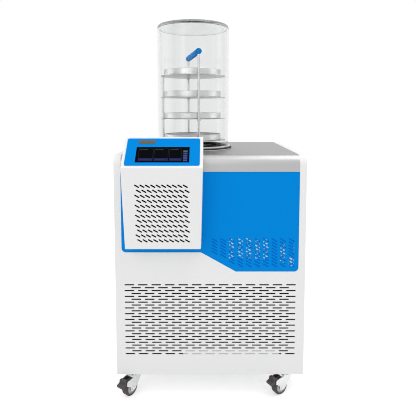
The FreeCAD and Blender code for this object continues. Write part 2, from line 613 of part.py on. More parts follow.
def vent_backing():
    """A blue sheet behind the slots that shades them, open where the supply needs air."""
    body = new_body("vent_backing")
    high = f"SLOT_Z + {SLOT_ROWS - 1} * slot_step_z + backing_margin"
    sk = rectangle(sketch(body, "XZ", "BACKING_Y"), "SLOT_X - backing_margin",
                   "INNER", "BLUE_RIGHT - blue_tuck", high)
    pad(body, sk, "sheet", back=True)
    holes = sketch(body, "XZ", "BACKING_Y")
    for window in ("wide_window", "tall_window"):
        (left, low), (right, high) = [window_spot(f"{window}_{side}", f"{window}_{end}")
                                      for side, end in (("left", "low"), ("right", "high"))]
        rectangle(holes, left, right, low, high)
    outline(holes, [window_spot(f"end_window_{across}", f"end_window_{up}")
                    for across, up in (("left", "low"), ("right", "low"), ("right", "high"),
                                       ("step", "high"), ("step", "split"), ("left", "split"))])
    pocket(body, holes, "sheet")


def power_supply():
    """The power supply on its bright mounting plate, fixed to the backing sheet."""
    body = new_body("power_supply")
    high = "SUPPLY_LOW + supply_high"
    face = "BACKING_Y + sheet"
    plate = rectangle(sketch(body, "XZ", face), "WINDOW_X - supply_margin",
                      "INNER - supply_side", "SUPPLY_LOW", high)
    pad(body, plate, "supply_plate", back=True)
    case = rectangle(sketch(body, "XZ", f"{face} + supply_plate"), "WINDOW_X - supply_inset",
                     "WINDOW_END + supply_inset", "SUPPLY_LOW + supply_inset",
                     f"{high} - supply_inset")
    pad(body, case, "supply_deep", back=True)


# ---------------------------------------------------------------- control housing

def housing_block(label, wall):
    """The housing's outer form, or with a wall its inside: leaning front, sloped face, tapered."""
    body = new_body(label)
    front, back = f"FRONT - housing_proud + {wall}", f"FRONT + roll_radius + housing_foot - {wall}"
    low = f"HOUSING_LOW + {wall}"
    crease = f"CREASE + {wall} * (tan(SLOPE) - 1 / cos(SLOPE))"
    high = f"CREASE + housing_rise - {wall}"
    brow = f"FRONT - housing_proud + (housing_rise - {wall} + {wall} / cos(SLOPE)) / tan(SLOPE)"
    corners = [(f"FRONT - housing_proud_low + {wall}", low), (front, crease), (brow, high),
               (back, high)]
    if wall == "0":
        # the back follows the blue panel, the apron and the roll of the top
        corners += [(back, "TOP"), ("FRONT", "TOP", "roll_radius"), ("FRONT", "APRON"),
                    ("FRONT + sheet", "APRON"), ("FRONT + sheet", low)]
    else:
        corners += [(back, low)]
    pad(body, outline(sketch(body, "YZ"), corners), f"housing_wide - 2 * ({wall})", both=True)
    half = f"(housing_wide / 2 - {wall})"
    wedge = sketch(body, "XZ")
    for hand in (-1, 1):
        outline(wedge, [(f"{hand} * {half}", crease), (f"{hand} * ({half} + overcut)", crease),
                        (f"{hand} * ({half} + overcut)", low),
                        (f"{hand} * ({half} - housing_draft)", low)])
    pocket(body, wedge, "4 * body_deep", both=True)
    return body


def control_housing():
    """The white housing: a moulded shell with an opening for the screen and slanting vents."""
    body = housing_block("control_housing", "0")
    front, top = num("FRONT"), num("CREASE + housing_rise")
    def outer(e):
        middle = e.CenterOfMass
        return middle.y < front - 0.5 or abs(middle.z - top) < 1e-3
    round_edges(body, "housing_round", outer)
    inside = housing_block("housing_inside", "housing_wall")
    hollow = body.newObject("PartDesign::Boolean", "hollow")
    hollow.Type = "Cut"
    hollow.setObjects([inside])
    opening = sketch(body, "XY")
    opening.AttachmentOffset = FreeCAD.Placement(V(0, 0, 0), FreeCAD.Rotation(V(1, 0, 0), 1))
    bind(opening, "AttachmentOffset.Base.y", "FRONT - housing_proud")
    bind(opening, "AttachmentOffset.Base.z", "CREASE")
    bind(opening, "AttachmentOffset.Rotation.Angle", "SLOPE")
    half = "(screen_wide / 2 - screen_ledge)"
    rectangle(opening, f"-{half}", half, "screen_foot + screen_ledge",
              "screen_foot + screen_high - screen_ledge")
    pocket(body, opening, "3 * housing_wall", both=True)
    start = "(FRONT - housing_proud - overcut)"
    low = "(CREASE - vent_drop - (2 * vent_pairs - 1) * vent_step_z)"
    left = "(-(vent_columns - 1) / 2 * vent_step_x - vent_shift / 2)"
    vents = sketch(body, "XZ", start)
    slot(vents, f"{left} + vent_shift", low, "vent_long", "vent_wide", "vent_tilt")
    slot(vents, left, f"{low} + vent_step_z", "vent_long", "vent_wide", "vent_tilt")
    cut = pocket(body, vents, "housing_proud - housing_proud_low + 4 * housing_wall + overcut")
    repeat(body, cut, vents, "vent_columns", "vent_step_x", "vent_pairs", "2 * vent_step_z")
    place(body, x="HOUSING_X")


def on_slope(body):
    """Stand a body on the housing's sloped face: x across, y up the slope, z out of it."""
    turn(body, V(1, 0, 0), "SLOPE")
    place(body, "HOUSING_X", "FRONT - housing_proud", "CREASE")


def screen_area(sk, inset):
    """The screen's rectangle on the sloped face, made smaller by an inset."""
    return rectangle(sk, f"{inset} - screen_wide / 2", f"screen_wide / 2 - ({inset})",
                     f"screen_foot + {inset}", f"screen_foot + screen_high - ({inset})")


def control_fascia():
    """The blue plate on the sloped face, open round the screen."""
    body = new_body("control_fascia")
    half = "(housing_wide / 2 - fascia_side)"
    plate = rectangle(sketch(body, "XY"), f"-{half}", half, "fascia_foot",
                      "fascia_foot + fascia_high", "fascia_corner")
    pad(body, plate, "fascia_thick")
    pocket(body, screen_area(sketch(body, "XY"), "-fit_gap"), "fascia_thick", back=True)
    on_slope(body)


def touch_screen():
    """The touch screen: its glass lies on the housing, its module goes through the opening."""
    body = new_body("touch_screen")
    pad(body, screen_area(sketch(body, "XY"), "0"), "screen_glass")
    pad(body, screen_area(sketch(body, "XY"), "screen_ledge + fit_gap"), "screen_deep",
        back=True)
    on_slope(body)


def control_board():
    """The control board, on four posts behind the screen's module."""
    body = new_body("control_board")
    inset = "(screen_ledge + 2 * post_radius)"
    posts = sketch(body, "XY", "-screen_deep")
    for hand in (-1, 1):
        for v in (f"screen_foot + {inset}", f"screen_foot + screen_high - {inset}"):
            circle(posts, f"{hand} * (screen_wide / 2 - {inset})", v, "post_radius")
    pad(body, posts, "post_high", back=True)
    plate = screen_area(sketch(body, "XY", "-screen_deep - post_high"), "screen_ledge")
    pad(body, plate, "board_thick", back=True)
    on_slope(body)


def badge_plate():
    """A plain blank plate above the screen."""
    body = new_body("badge_plate")
    left = "(badge_inset - screen_wide / 2)"
    low = "(screen_foot + screen_high + badge_gap)"
    plate = rectangle(sketch(body, "XY", "fascia_thick"), left, f"{left} + badge_wide", low,
                      f"{low} + badge_high")
    pad(body, plate, "badge_thick")
    on_slope(body)


# ---------------------------------------------------------------- chamber and cold trap

def turned(label, profiles, x="jar_x", y="JAR_Y"):
    """A piece turned about an upright axis; each profile is a closed outline of (radius, z)."""
    body = new_body(label)
    for corners in profiles:
        revolve(body, outline(sketch(body, "XZ"), corners))
    place(body, x, y)
    return body


def chamber():
    """The clear chamber: a tube, its flat lid and the rubber ring that seals it."""
    turned("chamber_tube", [[("BORE", "JAR_LOW"), ("jar_radius", "JAR_LOW"),
                             ("jar_radius", "JAR_TOP"), ("BORE", "JAR_TOP")]])
    turned("chamber_cap", [[("0", "JAR_TOP"), ("jar_radius", "JAR_TOP"),
                            ("jar_radius", "JAR_TOP + cap_thick", "cap_round"),
                            ("0", "JAR_TOP + cap_thick")]])
    lip, seat = "jar_radius + gasket_gap", "SEAT + gasket_seat"
    turned("chamber_gasket", [[("GASKET_BORE", "SEAT"), ("GASKET", "SEAT", "gasket_round"),
                               ("GASKET", "SEAT + gasket_high", "gasket_round"),
                               (lip, "SEAT + gasket_high", "gasket_round"), (lip, seat),
                               ("GASKET_BORE", seat)]])


def cold_trap_well():
    """The deep-drawn steel well whose flange rests on the top, cut out for port and drain."""
    body = turned("cold_trap_well", [[
        ("0", "WELL_LOW"), ("WELL_OUT", "WELL_LOW", "well_round"), ("WELL_OUT", "TOP"),
        ("GASKET - flange_inset", "TOP"), ("GASKET - flange_inset", "SEAT"), ("WELL", "SEAT"),
        ("WELL", "WELL_LOW + well_wall", "well_round - well_wall"),
        ("0", "WELL_LOW + well_wall")]])
    half = "port_plate / 2"
    window = rectangle(sketch(body, "XZ", f"WELL - {half}"), f"-{half}", half,
                       f"PORT_Z - {half}", f"PORT_Z + {half}")
    pocket(body, window, "port_plate")
    drain = circle(sketch(body, "XY", "WELL_LOW + well_wall"), "0", "0", "drain_radius")
    pocket(body, drain, "2 * well_wall")


def evaporator_coil():
    """Copper rings round the well, brazed into two upright headers."""
    body = new_body("evaporator_coil")
    low = "(WELL_LOW + coil_foot)"
    headers = sketch(body, "XY", "HEADER_LOW")
    for angle in ("header_angle_one", "header_angle_two"):
        circle(headers, f"COIL * cos({angle} * 1deg)", f"COIL * sin({angle} * 1deg)",
               "coil_tube")
    pad(body, headers, f"{low} + (coil_turns - 1) * coil_step - HEADER_LOW")
    ring = circle(sketch(body, "XZ"), "COIL", low, "coil_tube")
    tube = revolve(body, ring)
    rows = body.newObject("PartDesign::LinearPattern", "coil_rows")
    rows.Originals = [tube]
    rows.Direction = (ring, ["V_Axis"])
    bind(rows, "Occurrences", "coil_turns")
    bind(rows, "Length", "(coil_turns - 1) * coil_step")
    body.Tip = rows
    place(body, "jar_x", "JAR_Y")


def trap_insulation():
    """The foam jacket round the well and under it, with ways through for tubes."""
    outside = "(FOAM_IN + foam_thick)"
    body = turned("trap_insulation", [[
        ("0", "FOAM_LOW"), (outside, "FOAM_LOW"), (outside, "TOP - sheet"),
        ("FOAM_IN", "TOP - sheet"), ("FOAM_IN", "WELL_LOW"), ("0", "WELL_LOW")]])
    port = circle(sketch(body, "XZ", "FOAM_IN - port_radius"), "0", "PORT_Z",
                  "port_radius + hole_gap")
    pocket(body, port, "foam_thick + 2 * port_radius")
    ways = sketch(body, "XY", "WELL_LOW")
    circle(ways, "0", "0", "drain_radius + hole_gap")
    for angle in ("header_angle_one", "header_angle_two"):
        circle(ways, f"COIL * cos({angle} * 1deg)", f"COIL * sin({angle} * 1deg)",
               "coil_tube + hole_gap")
    pocket(body, ways, "foam_floor")


# ---------------------------------------------------------------- rack and trays

def rod_spots():
    """The two tall rods that carry the handle, then the short one at the left."""
    tall = [(f"{s} * ROD_CIRCLE * cos(rod_turn * 1deg)",
             f"{s} * ROD_CIRCLE * sin(rod_turn * 1deg)") for s in (1, -1)]
    return tall, ("-ROD_CIRCLE", "0")


def rack():
    """The tray rack: a base ring with three rods, four shelves on them and a handle."""
    tall, short = rod_spots()
    body = new_body("rack_frame")
    ring = circle(sketch(body, "XY", "SEAT"), "0", "0", "RING")
    circle(ring, "0", "0", "RING - ring_wide")
    pad(body, ring, "ring_thick")
    rods = sketch(body, "XY", "RING_TOP")
    for x, y in tall:
        circle(rods, x, y, "rod_radius")
    pad(body, rods, "HANDLE_Z - RING_TOP")
    third = circle(sketch(body, "XY", "RING_TOP"), *short, "rod_radius")
    pad(body, third, "TOP_SHELF + shelf_thick - RING_TOP")
    place(body, "jar_x", "JAR_Y")

    shelves = new_body("rack_shelves")
    plate = circle(sketch(shelves, "XY", "SHELF_Z"), "0", "0", "SHELF")
    for x, y in tall + [short]:
        circle(plate, x, y, "rod_radius")
    disc = pad(shelves, plate, "shelf_thick")
    stack = shelves.newObject("PartDesign::LinearPattern", "stack")
    stack.Originals = [disc]
    stack.Direction = (plate, ["N_Axis"])
    bind(stack, "Occurrences", "shelf_count")
    bind(stack, "Length", "(shelf_count - 1) * shelf_step")
    shelves.Tip = stack
    place(shelves, "jar_x", "JAR_Y")

    handle = new_body("rack_handle")
    end = "(ROD_CIRCLE + handle_radius)"
    grip = sketch(handle, "XZ")
    outline(grip, [(f"-{end}", "0"), (end, "0"), (end, "handle_radius", "handle_round"),
                   (f"-{end}", "handle_radius", "handle_round")])
    revolve(handle, grip, "H_Axis")
    holes = sketch(handle, "XY")
    for hand in (-1, 1):
        circle(holes, f"{hand} * ROD_CIRCLE", "0", "rod_radius")
    pocket(handle, holes, "2 * handle_radius")
    turn(handle, V(0, 0, 1), "rod_turn")
    place(handle, "jar_x", "JAR_Y", "HANDLE_Z")


def trays():
    """Four trays, each loose on its shelf."""
    for i in range(int(SIZES["shelf_count"])):
        body = turned(f"tray_{i + 1}", [[
            ("0", "0"), ("TRAY", "0", "tray_round"), ("TRAY", "tray_high"),
            ("TRAY - tray_wall", "tray_high"),
            ("TRAY - tray_wall", "tray_wall", "tray_round - tray_wall"), ("0", "tray_wall")]],
            x="jar_x + tray_shift")
        bind(body, "Placement.Base.z", f"SHELF_Z + shelf_thick + {i} * shelf_step")


# ---------------------------------------------------------------- refrigeration

def compressor():
    """The hermetic compressor: a pressed shell on a foot plate with rubber feet."""
    body = new_body("compressor")
    grommets = sketch(body, "XY", "FLOOR")
    for sx in (-1, 1):
        for sy in (-1, 1):
            circle(grommets, f"{sx} * (foot_plate_wide / 2 - grommet_radius)",
                   f"{sy} * (foot_plate_deep / 2 - grommet_radius)", "grommet_radius")
    pad(body, grommets, "grommet_high")
    half_wide, half_deep = "foot_plate_wide / 2", "foot_plate_deep / 2"
    foot = rectangle(sketch(body, "XY", "SHELL_LOW"), f"-{half_wide}", half_wide,
                     f"-{half_deep}", half_deep, "grommet_radius")
    pad(body, foot, "foot_plate_thick")
    low, high = "(SHELL_LOW + foot_plate_thick)", "SHELL_TOP"
    revolve(body, outline(sketch(body, "XZ"), [
        ("0", low), ("shell_radius", low, "shell_round / 2"),
        ("shell_radius", high, "shell_round"), ("0", high)]))
    seam, rim = f"({low} + seam_up)", "shell_radius + seam_proud"
    revolve(body, outline(sketch(body, "XZ"), [
        ("0", seam), (rim, seam), (rim, f"{seam} + seam_high"), ("0", f"{seam} + seam_high")]))
    stubs = sketch(body, "XY", "SHELL_TOP - pipe_radius")
    for hand in (-1, 1):
        circle(stubs, f"{hand} * stub_offset", "0", "pipe_radius")
    pad(body, stubs, "stub_high + pipe_radius")
    box = rectangle(sketch(body, "XZ", "-shell_radius - terminal_proud"), "-terminal_wide / 2",
                    "terminal_wide / 2", f"{low} + terminal_up",
                    f"{low} + terminal_up + terminal_high", "terminal_round")
    pad(body, box, "terminal_deep", back=True)
    place(body, "SHELL_X", "SHELL_Y")


def condenser():
    """The finned condenser core between two side plates that stand on the pan."""
    body = new_body("condenser")
    core = rectangle(sketch(body, "XZ", "CORE_BACK"), "CORE_LEFT", "CORE_LEFT + core_wide",
                     "CORE_LOW", "CORE_TOP")
    pad(body, core, "core_thick")
    sides = sketch(body, "XZ", "CORE_BACK")
    rectangle(sides, "CORE_LEFT - sheet", "CORE_LEFT", "FLOOR", "CORE_TOP")
    rectangle(sides, "CORE_LEFT + core_wide", "CORE_LEFT + core_wide + sheet", "FLOOR",
              "CORE_TOP")
    pad(body, sides, "core_thick")
    stubs = sketch(body, "XY", "CORE_TOP")
    for x in ("CORE_LEFT + stub_inset", "CORE_LEFT + core_wide - stub_inset"):
        circle(stubs, x, "CORE_Y + core_thick / 2", "pipe_radius")
    pad(body, stubs, "stub_rise")


def fan():
    """The condenser's fan on its shaft, and the shroud and arms that carry its motor."""
    body = new_body("fan_motor")
    ring = sketch(body, "XZ", "CORE_BACK")
    rectangle(ring, "CORE_LEFT", "CORE_LEFT + core_wide", "CORE_LOW", "CORE_TOP")
    circle(ring, "CORE_X", "CORE_Z", "shroud_radius")
    pad(body, ring, "sheet", back=True)
    collar = circle(sketch(body, "XZ", "CORE_BACK"), "CORE_X", "CORE_Z", "shroud_radius")
    circle(collar, "CORE_X", "CORE_Z", "shroud_radius + sheet")
    pad(body, collar, "shroud_deep", back=True)
    reach = "(shroud_radius + sheet)"
    for wide, high in ((reach, "arm_wide / 2"), ("arm_wide / 2", reach)):
        arm = rectangle(sketch(body, "XZ", "CORE_BACK + shroud_deep"), f"CORE_X - {wide}",
                        f"CORE_X + {wide}", f"CORE_Z - {high}", f"CORE_Z + {high}")
        pad(body, arm, "arm_thick", back=True)
    drum = circle(sketch(body, "XZ", "CORE_BACK + shroud_deep"), "CORE_X", "CORE_Z",
                  "motor_radius")
    pad(body, drum, "motor_long", back=True)
    bore = circle(sketch(body, "XZ", "CORE_BACK + shroud_deep"), "CORE_X", "CORE_Z",
                  "shaft_radius + shaft_gap")
    pocket(body, bore, "shaft_seat + shaft_end_gap")

    blades = new_body("condenser_fan")
    hub = circle(sketch(blades, "XZ"), "0", "0", "fan_hub")
    pad(blades, hub, "fan_deep", back=True)
    shaft = circle(sketch(blades, "XZ", "fan_deep"), "0", "0", "shaft_radius")
    pad(blades, shaft, "(shroud_deep - fan_deep) / 2 + shaft_seat", back=True)
    root = "(fan_hub - blade_root)"
    sk = sketch(blades, "XY", root)
    cosine, sine = "cos(blade_pitch * 1deg)", "sin(blade_pitch * 1deg)"
    chord, thick, middle = "blade_chord / 2", "blade_thick / 2", "fan_deep / 2"
    outline(sk, [(f"{a} * {chord} * {cosine} - {b} * {thick} * {sine}",
                  f"{middle} + {a} * {chord} * {sine} + {b} * {thick} * {cosine}")
                 for a, b in ((-1, -1), (1, -1), (1, 1), (-1, 1))])
    blade = pad(blades, sk, f"shroud_radius - fan_gap - {root}")
    spread = blades.newObject("PartDesign::PolarPattern", "blades")
    spread.Originals = [blade]
    axis = [f for f in blades.Origin.OriginFeatures if f.Role == "Y_Axis"][0]
    spread.Axis = (axis, [""])
    spread.Angle = 360
    bind(spread, "Occurrences", "fan_blades")
    blades.Tip = spread
    place(blades, "CORE_X", "CORE_BACK + (shroud_deep - fan_deep) / 2", "CORE_Z")


DRIER_X = "(CORE_LEFT + stub_inset)"
DRIER_Y = "(CORE_Y + core_thick / 2 + drier_back)"
DRIER_Z = "(CORE_TOP + drier_rise)"


def filter_drier():
    """The filter drier, upright in the liquid line."""
    neck, cone = "drier_neck", "(drier_neck + drier_cone)"
    body = turned("filter_drier", [[
        ("0", "0"), ("pipe_radius", "0"), ("pipe_radius", neck),
        ("drier_radius", cone, "drier_round"),
        ("drier_radius", f"drier_high - {cone}", "drier_round"),
        ("pipe_radius", f"drier_high - {neck}"), ("pipe_radius", "drier_high"),
        ("0", "drier_high")]], x=DRIER_X, y=DRIER_Y)
    bind(body, "Placement.Base.z", DRIER_Z)


def refrigerant_pipes():
    """The copper lines between compressor, condenser, drier and evaporator."""
    top, stub = "(SHELL_TOP + stub_high)", "(CORE_TOP + stub_rise)"
    middle = "CORE_Y + core_thick / 2"
    right = "CORE_LEFT + core_wide - stub_inset"
    two = ("HEADER_TWO_X", "HEADER_TWO_Y")
    runs = {
        "discharge": [("SHELL_X + stub_offset", "SHELL_Y", top),
                      ("SHELL_X + stub_offset", "SHELL_Y", f"{top} + discharge_rise"),
                      (right, middle, f"{top} + discharge_rise"), (right, middle, stub)],
        "suction": [("HEADER_ONE_X", "HEADER_ONE_Y", "HEADER_LOW"),
                    ("HEADER_ONE_X", "HEADER_ONE_Y", f"{top} + suction_rise"),
                    ("SHELL_X - stub_offset", "SHELL_Y", f"{top} + suction_rise"),
                    ("SHELL_X - stub_offset", "SHELL_Y", top)],
        "liquid": [(DRIER_X, middle, stub), (DRIER_X, middle, f"{stub} + liquid_rise"),
                   (DRIER_X, DRIER_Y, f"{stub} + liquid_rise"), (DRIER_X, DRIER_Y, DRIER_Z)],
        "feed": [(DRIER_X, DRIER_Y, f"{DRIER_Z} + drier_high"),
                 (DRIER_X, DRIER_Y, "HEADER_LOW - feed_drop"),
                 (*two, "HEADER_LOW - feed_drop"),
                 (*two, "HEADER_LOW")],
    }
    solids = [pipe(name, run, "pipe_radius", "pipe_bend") for name, run in runs.items()]
    bare("refrigerant_pipes", Part.makeCompound(solids))


# ---------------------------------------------------------------- rear fittings

def vacuum_port():
    """A steel tube out through the back: it starts in a plate welded into the well's wall and
    ends in a clamp flange."""
    x, y, z = num("jar_x"), num("JAR_Y + WELL"), num("PORT_Z")
    end, kf, side = num("REAR + port_proud"), num("kf_thick"), num("port_plate")
    out = V(0, 1, 0)
    tube = Part.makeCylinder(num("port_radius"), end - 2 * kf - y, V(x, y, z), out)
    cone = Part.makeCone(num("port_radius"), num("kf_radius"), kf, V(x, end - 2 * kf, z), out)
    flange = Part.makeCylinder(num("kf_radius"), kf, V(x, end - kf, z), out)
    foot = V(x, num("JAR_Y"), z - side / 2)
    wall = Part.makeCylinder(num("WELL_OUT"), side, foot).cut(
        Part.makeCylinder(num("WELL"), side, foot))
    plate = wall.common(Part.makeBox(side, side, side, V(x - side / 2, y - side / 2, z - side / 2)))
    bore = Part.makeCylinder(num("port_radius - port_wall"), end - y + side,
                             V(x, y - side, z), out)
    bare("vacuum_port", tube.fuse([cone, flange, plate]).removeSplitter().cut(bore))


def drain_valve():
    """The drain tube from the well's floor, and the ball valve behind the cabinet."""
    route = [("jar_x", "JAR_Y", "WELL_LOW + well_wall"), ("jar_x", "JAR_Y", "DRAIN_Z"),
             ("jar_x", "REAR + sheet", "DRAIN_Z")]
    tube = pipe("drain", route, "drain_radius", "pipe_bend")
    x, y, z = num("jar_x"), num("REAR"), num("DRAIN_Z")
    out, up = V(0, 1, 0), V(0, 0, 1)
    block = Part.makeCylinder(num("valve_radius"), num("valve_long"), V(x, y, z), out)
    barb = Part.makeCylinder(num("barb_radius"), num("port_proud"), V(x, y, z), out)
    middle = V(x, y + num("valve_long") / 2, z)
    stem_high = num("valve_radius + 2 * lever_gap + lever_thick")
    stem = Part.makeCylinder(num("stem_radius"), stem_high, middle, up)
    nut = Part.makeCylinder(num("nut_radius"), num("nut_thick"), middle + up * stem_high, up)
    solid = tube.fuse([block, barb, stem, nut]).removeSplitter()
    bores = [pipe("drain bore", route, "drain_radius - drain_wall", "pipe_bend"),
             Part.makeCylinder(num("drain_radius - drain_wall"), num("port_proud"), V(x, y, z),
                               out)]
    bare("drain_valve", solid.cut(bores))


def drain_valve_lever():
    """The valve's lever, turning on the stem under its nut."""
    body = new_body("drain_valve_lever")
    plate = slot(sketch(body, "XY"), "lever_long / 2 - lever_wide / 2", "0", "lever_long",
                 "lever_wide")
    pad(body, plate, "lever_thick")
    boss = circle(sketch(body, "XY"), "0", "0", "nut_radius")
    pad(body, boss, "lever_thick")
    hole = circle(sketch(body, "XY"), "0", "0", "stem_radius + stem_gap")
    pocket(body, hole, "2 * lever_thick", back=True)
    place(body, "jar_x", "REAR + valve_long / 2", "DRAIN_Z + valve_radius + lever_gap")


def power_module():
    """The mains inlet with a rocker switch above it, in the rear panel."""
    body = new_body("power_module")
    flange = rectangle(sketch(body, "XZ"), "-inlet_wide / 2", "inlet_wide / 2",
                       "-inlet_high / 2", "inlet_high / 2", "inlet_round")
    pad(body, flange, "inlet_flange", back=True)
    half_wide, half_high = "(inlet_wide / 2 - inlet_wall)", "(inlet_high / 2 - inlet_wall)"
    case = rectangle(sketch(body, "XZ"), f"-{half_wide}", half_wide, f"-{half_high}",
                     half_high)
    pad(body, case, "inlet_deep")
    recess = sketch(body, "XZ", "inlet_flange")
    side, low, high = "recess_wide / 2", "-recess_low", "(recess_high - recess_low)"
    outline(recess, [(f"-{side}", low), (side, low), (side, f"{high} - recess_corner"),
                     (f"{side} - recess_corner", high), (f"recess_corner - {side}", high),
                     (f"-{side}", f"{high} - recess_corner")])
    pocket(body, recess, "recess_deep", back=True)
    half_wide, half_high = "(rocker_wide / 2 + rocker_gap)", "(rocker_high / 2 + rocker_gap)"
    well = rectangle(sketch(body, "XZ", "inlet_flange"), f"-{half_wide}", half_wide,
                     f"rocker_up - {half_high}", f"rocker_up + {half_high}")
    pocket(body, well, "rocker_deep + inlet_flange", back=True)
    blades = sketch(body, "XZ", "inlet_flange - recess_deep")
    for x, z in (("-blade_x", "-blade_z"), ("blade_x", "-blade_z"), ("0", "-earth_z")):
        rectangle(blades, f"{x} - blade_wide / 2", f"{x} + blade_wide / 2",
                  f"{z} - blade_high / 2", f"{z} + blade_high / 2")
    pad(body, blades, "blade_long", back=True)
    place(body, "INLET_X", "REAR", "INLET_Z")


def power_rocker():
    """The switch's rocker, at rest on one side."""
    body = new_body("power_rocker")
    half, deep = "(rocker_high / 2)", "-rocker_deep / 2"
    sk = outline(sketch(body, "YZ"), [
        (deep, f"rocker_taper - {half}"), ("inlet_flange", f"-{half}"),
        ("inlet_flange - rocker_dip", "0"), ("inlet_flange", half),
        (deep, f"{half} - rocker_taper")])
    pad(body, sk, "rocker_wide", both=True)
    turn(body, V(1, 0, 0), "-rocker_tilt")
    place(body, "INLET_X", "REAR", "INLET_Z + rocker_up")


# ---------------------------------------------------------------- casters

def caster_spots():
    """Name and centre of each caster's plate."""
    rows = (("front", "FRONT + caster_front"), ("rear", "REAR - caster_rear"))
    columns = (("left", "caster_side - SIDE"), ("right", "SIDE - caster_side"))
    return [(f"{row}_{column}", f"({x})", f"({y})") for row, y in rows for column, x in columns]


def bolt_spots():
    """Places of the sixteen caster bolts."""
    return [(f"{x} + {sx} * bolt_x", f"{y} + {sy} * bolt_y")
            for _, x, y in caster_spots() for sx in (-1, 1) for sy in (-1, 1)]


def caster_bolts():
    """Bolts through the caster plates and the pan, with their nuts, as one group."""
    body = new_body("caster_bolts")
    under = "(caster_high - plate_thick)"
    for at, radius, length, back in (
            (under, "bolt_radius", "plate_thick + sheet", False),
            (under, "bolt_head", "head_high", True), ("FLOOR", "bolt_head", "head_high", False)):
        sk = sketch(body, "XY", at)
        for x, y in bolt_spots():
            circle(sk, x, y, radius)
        pad(body, sk, length, back=back)


def caster_plate(label):
    """The fixed plate with its ball race and king pin; z = 0 is the cabinet's underside."""
    body = new_body(label)
    plate = rectangle(sketch(body, "XY"), "-plate_long / 2", "plate_long / 2",
                      "-plate_deep / 2", "plate_deep / 2", "plate_round")
    for sx in (-1, 1):
        for sy in (-1, 1):
            circle(plate, f"{sx} * bolt_x", f"{sy} * bolt_y", "bolt_radius")
    pad(body, plate, "plate_thick", back=True)
    race_low = "(plate_thick + race_high)"
    head = f"({race_low} + 3 * race_gap + fork_top)"
    for start, radius, length in (("plate_thick", "race_radius", "race_high"),
                                  (race_low, "king_radius", f"{head} - {race_low}"),
                                  (head, "king_head", "king_head_high")):
        disc = circle(sketch(body, "XY", f"-({start})"), "0", "0", radius)
        pad(body, disc, length, back=True)
    return body


def caster_fork(label):
    """The swivelling fork, with its axle and the pin of the brake pedal riveted in."""
    body = new_body(label)
    top = "(-plate_thick - race_high - race_gap)"
    axle, pin = ("-trail", "AXLE_Z"), ("-trail - pedal_back", "AXLE_Z + pedal_up")
    ear, pin_z = "-trail - pedal_back - ear", "AXLE_Z + pedal_up"
    legs = sketch(body, "YZ")
    outline(legs, [
        ("race_radius", top), ("race_radius", f"{top} - fork_brow", "fork_round"),
        ("fork_toe - trail", "AXLE_Z - fork_foot", "fork_foot"),
        ("-trail - fork_toe", "AXLE_Z - fork_foot", "fork_foot"),
        ("-trail - fork_heel", "AXLE_Z + fork_foot", "fork_round"),
        (ear, f"{pin_z} - ear", "fork_round"), (ear, f"{pin_z} + ear", "fork_round"),
        ("-race_radius - fork_back", f"{top} - fork_top - fork_lip"),
        ("-race_radius - fork_back / 2", top)])
    pad(body, legs, "fork_wide", both=True)
    gap = rectangle(sketch(body, "XZ"), "-fork_gap / 2", "fork_gap / 2", "-2 * caster_high",
                    f"{top} - fork_top")
    pocket(body, gap, "4 * caster_high", both=True)
    king = circle(sketch(body, "XY"), "0", "0", "king_radius + race_gap")
    pocket(body, king, "caster_high / 2")
    pad(body, circle(sketch(body, "YZ"), *axle, "axle_radius"), "fork_wide", both=True)
    for hand in (-1, 1):
        head = circle(sketch(body, "YZ", f"{hand} * fork_wide / 2"), *axle, "axle_head")
        pad(body, head, "axle_head_high", back=hand < 0)
    pad(body, circle(sketch(body, "YZ"), *pin, "pin_radius"), "fork_wide", both=True)
    return body


def caster_hub(label):
    """The wheel's dished hub, on the axle with a running gap; its axis is x."""
    body = new_body(label)
    bore, rim = "axle_radius + axle_gap", "wheel_radius - tyre_thick"
    boss, side, dish = "(fork_gap / 2 - boss_gap)", "wheel_wide / 2", "(wheel_wide / 2 - hub_dish)"
    half = [(side, rim), (side, f"{rim} - hub_lip"), (dish, f"{rim} - hub_lip - hub_draft"),
            (dish, "hub_boss + hub_draft"), (boss, "hub_boss"), (boss, bore)]
    other = [(f"-{u}", v) for u, v in reversed(half)]
    revolve(body, outline(sketch(body, "XY"), half + other), "H_Axis")
    return body


def caster_tyre(label):
    """The rubber tyre round the hub; its axis is x."""
    body = new_body(label)
    side, rim = "wheel_wide / 2", "wheel_radius - tyre_thick"
    revolve(body, outline(sketch(body, "XY"), [
        (f"-{side}", rim), (side, rim), (side, "wheel_radius", "tyre_round"),
        (f"-{side}", "wheel_radius", "tyre_round")]), "H_Axis")
    return body


def caster_pedal(label):
    """The two-lobed brake pedal, about its pin at the origin; it points along -y."""
    body = new_body(label)
    sk = outline(sketch(body, "YZ"), [
        ("pedal_throat", "-pedal_chin", "pedal_round"), ("pedal_nose", "pedal_nose", "pedal_bend"),
        ("-lobe_near", "lobe_high", "pedal_bend"), ("-lobe_far", "lobe_high", "pedal_round"),
        ("lobe_lean - lobe_far", "lobe_notch", "pedal_round"),
        ("-pedal_long", "toe_high", "pedal_round"),
        ("toe_tuck - pedal_long", "-toe_low", "pedal_round"),
        ("-pedal_heel", "-pedal_belly", "pedal_sweep")])
    pad(body, sk, "pedal_wide", both=True)
    hole = circle(sketch(body, "YZ"), "0", "0", "pin_radius + pin_gap")
    pocket(body, hole, "2 * pedal_wide", both=True)
    return body


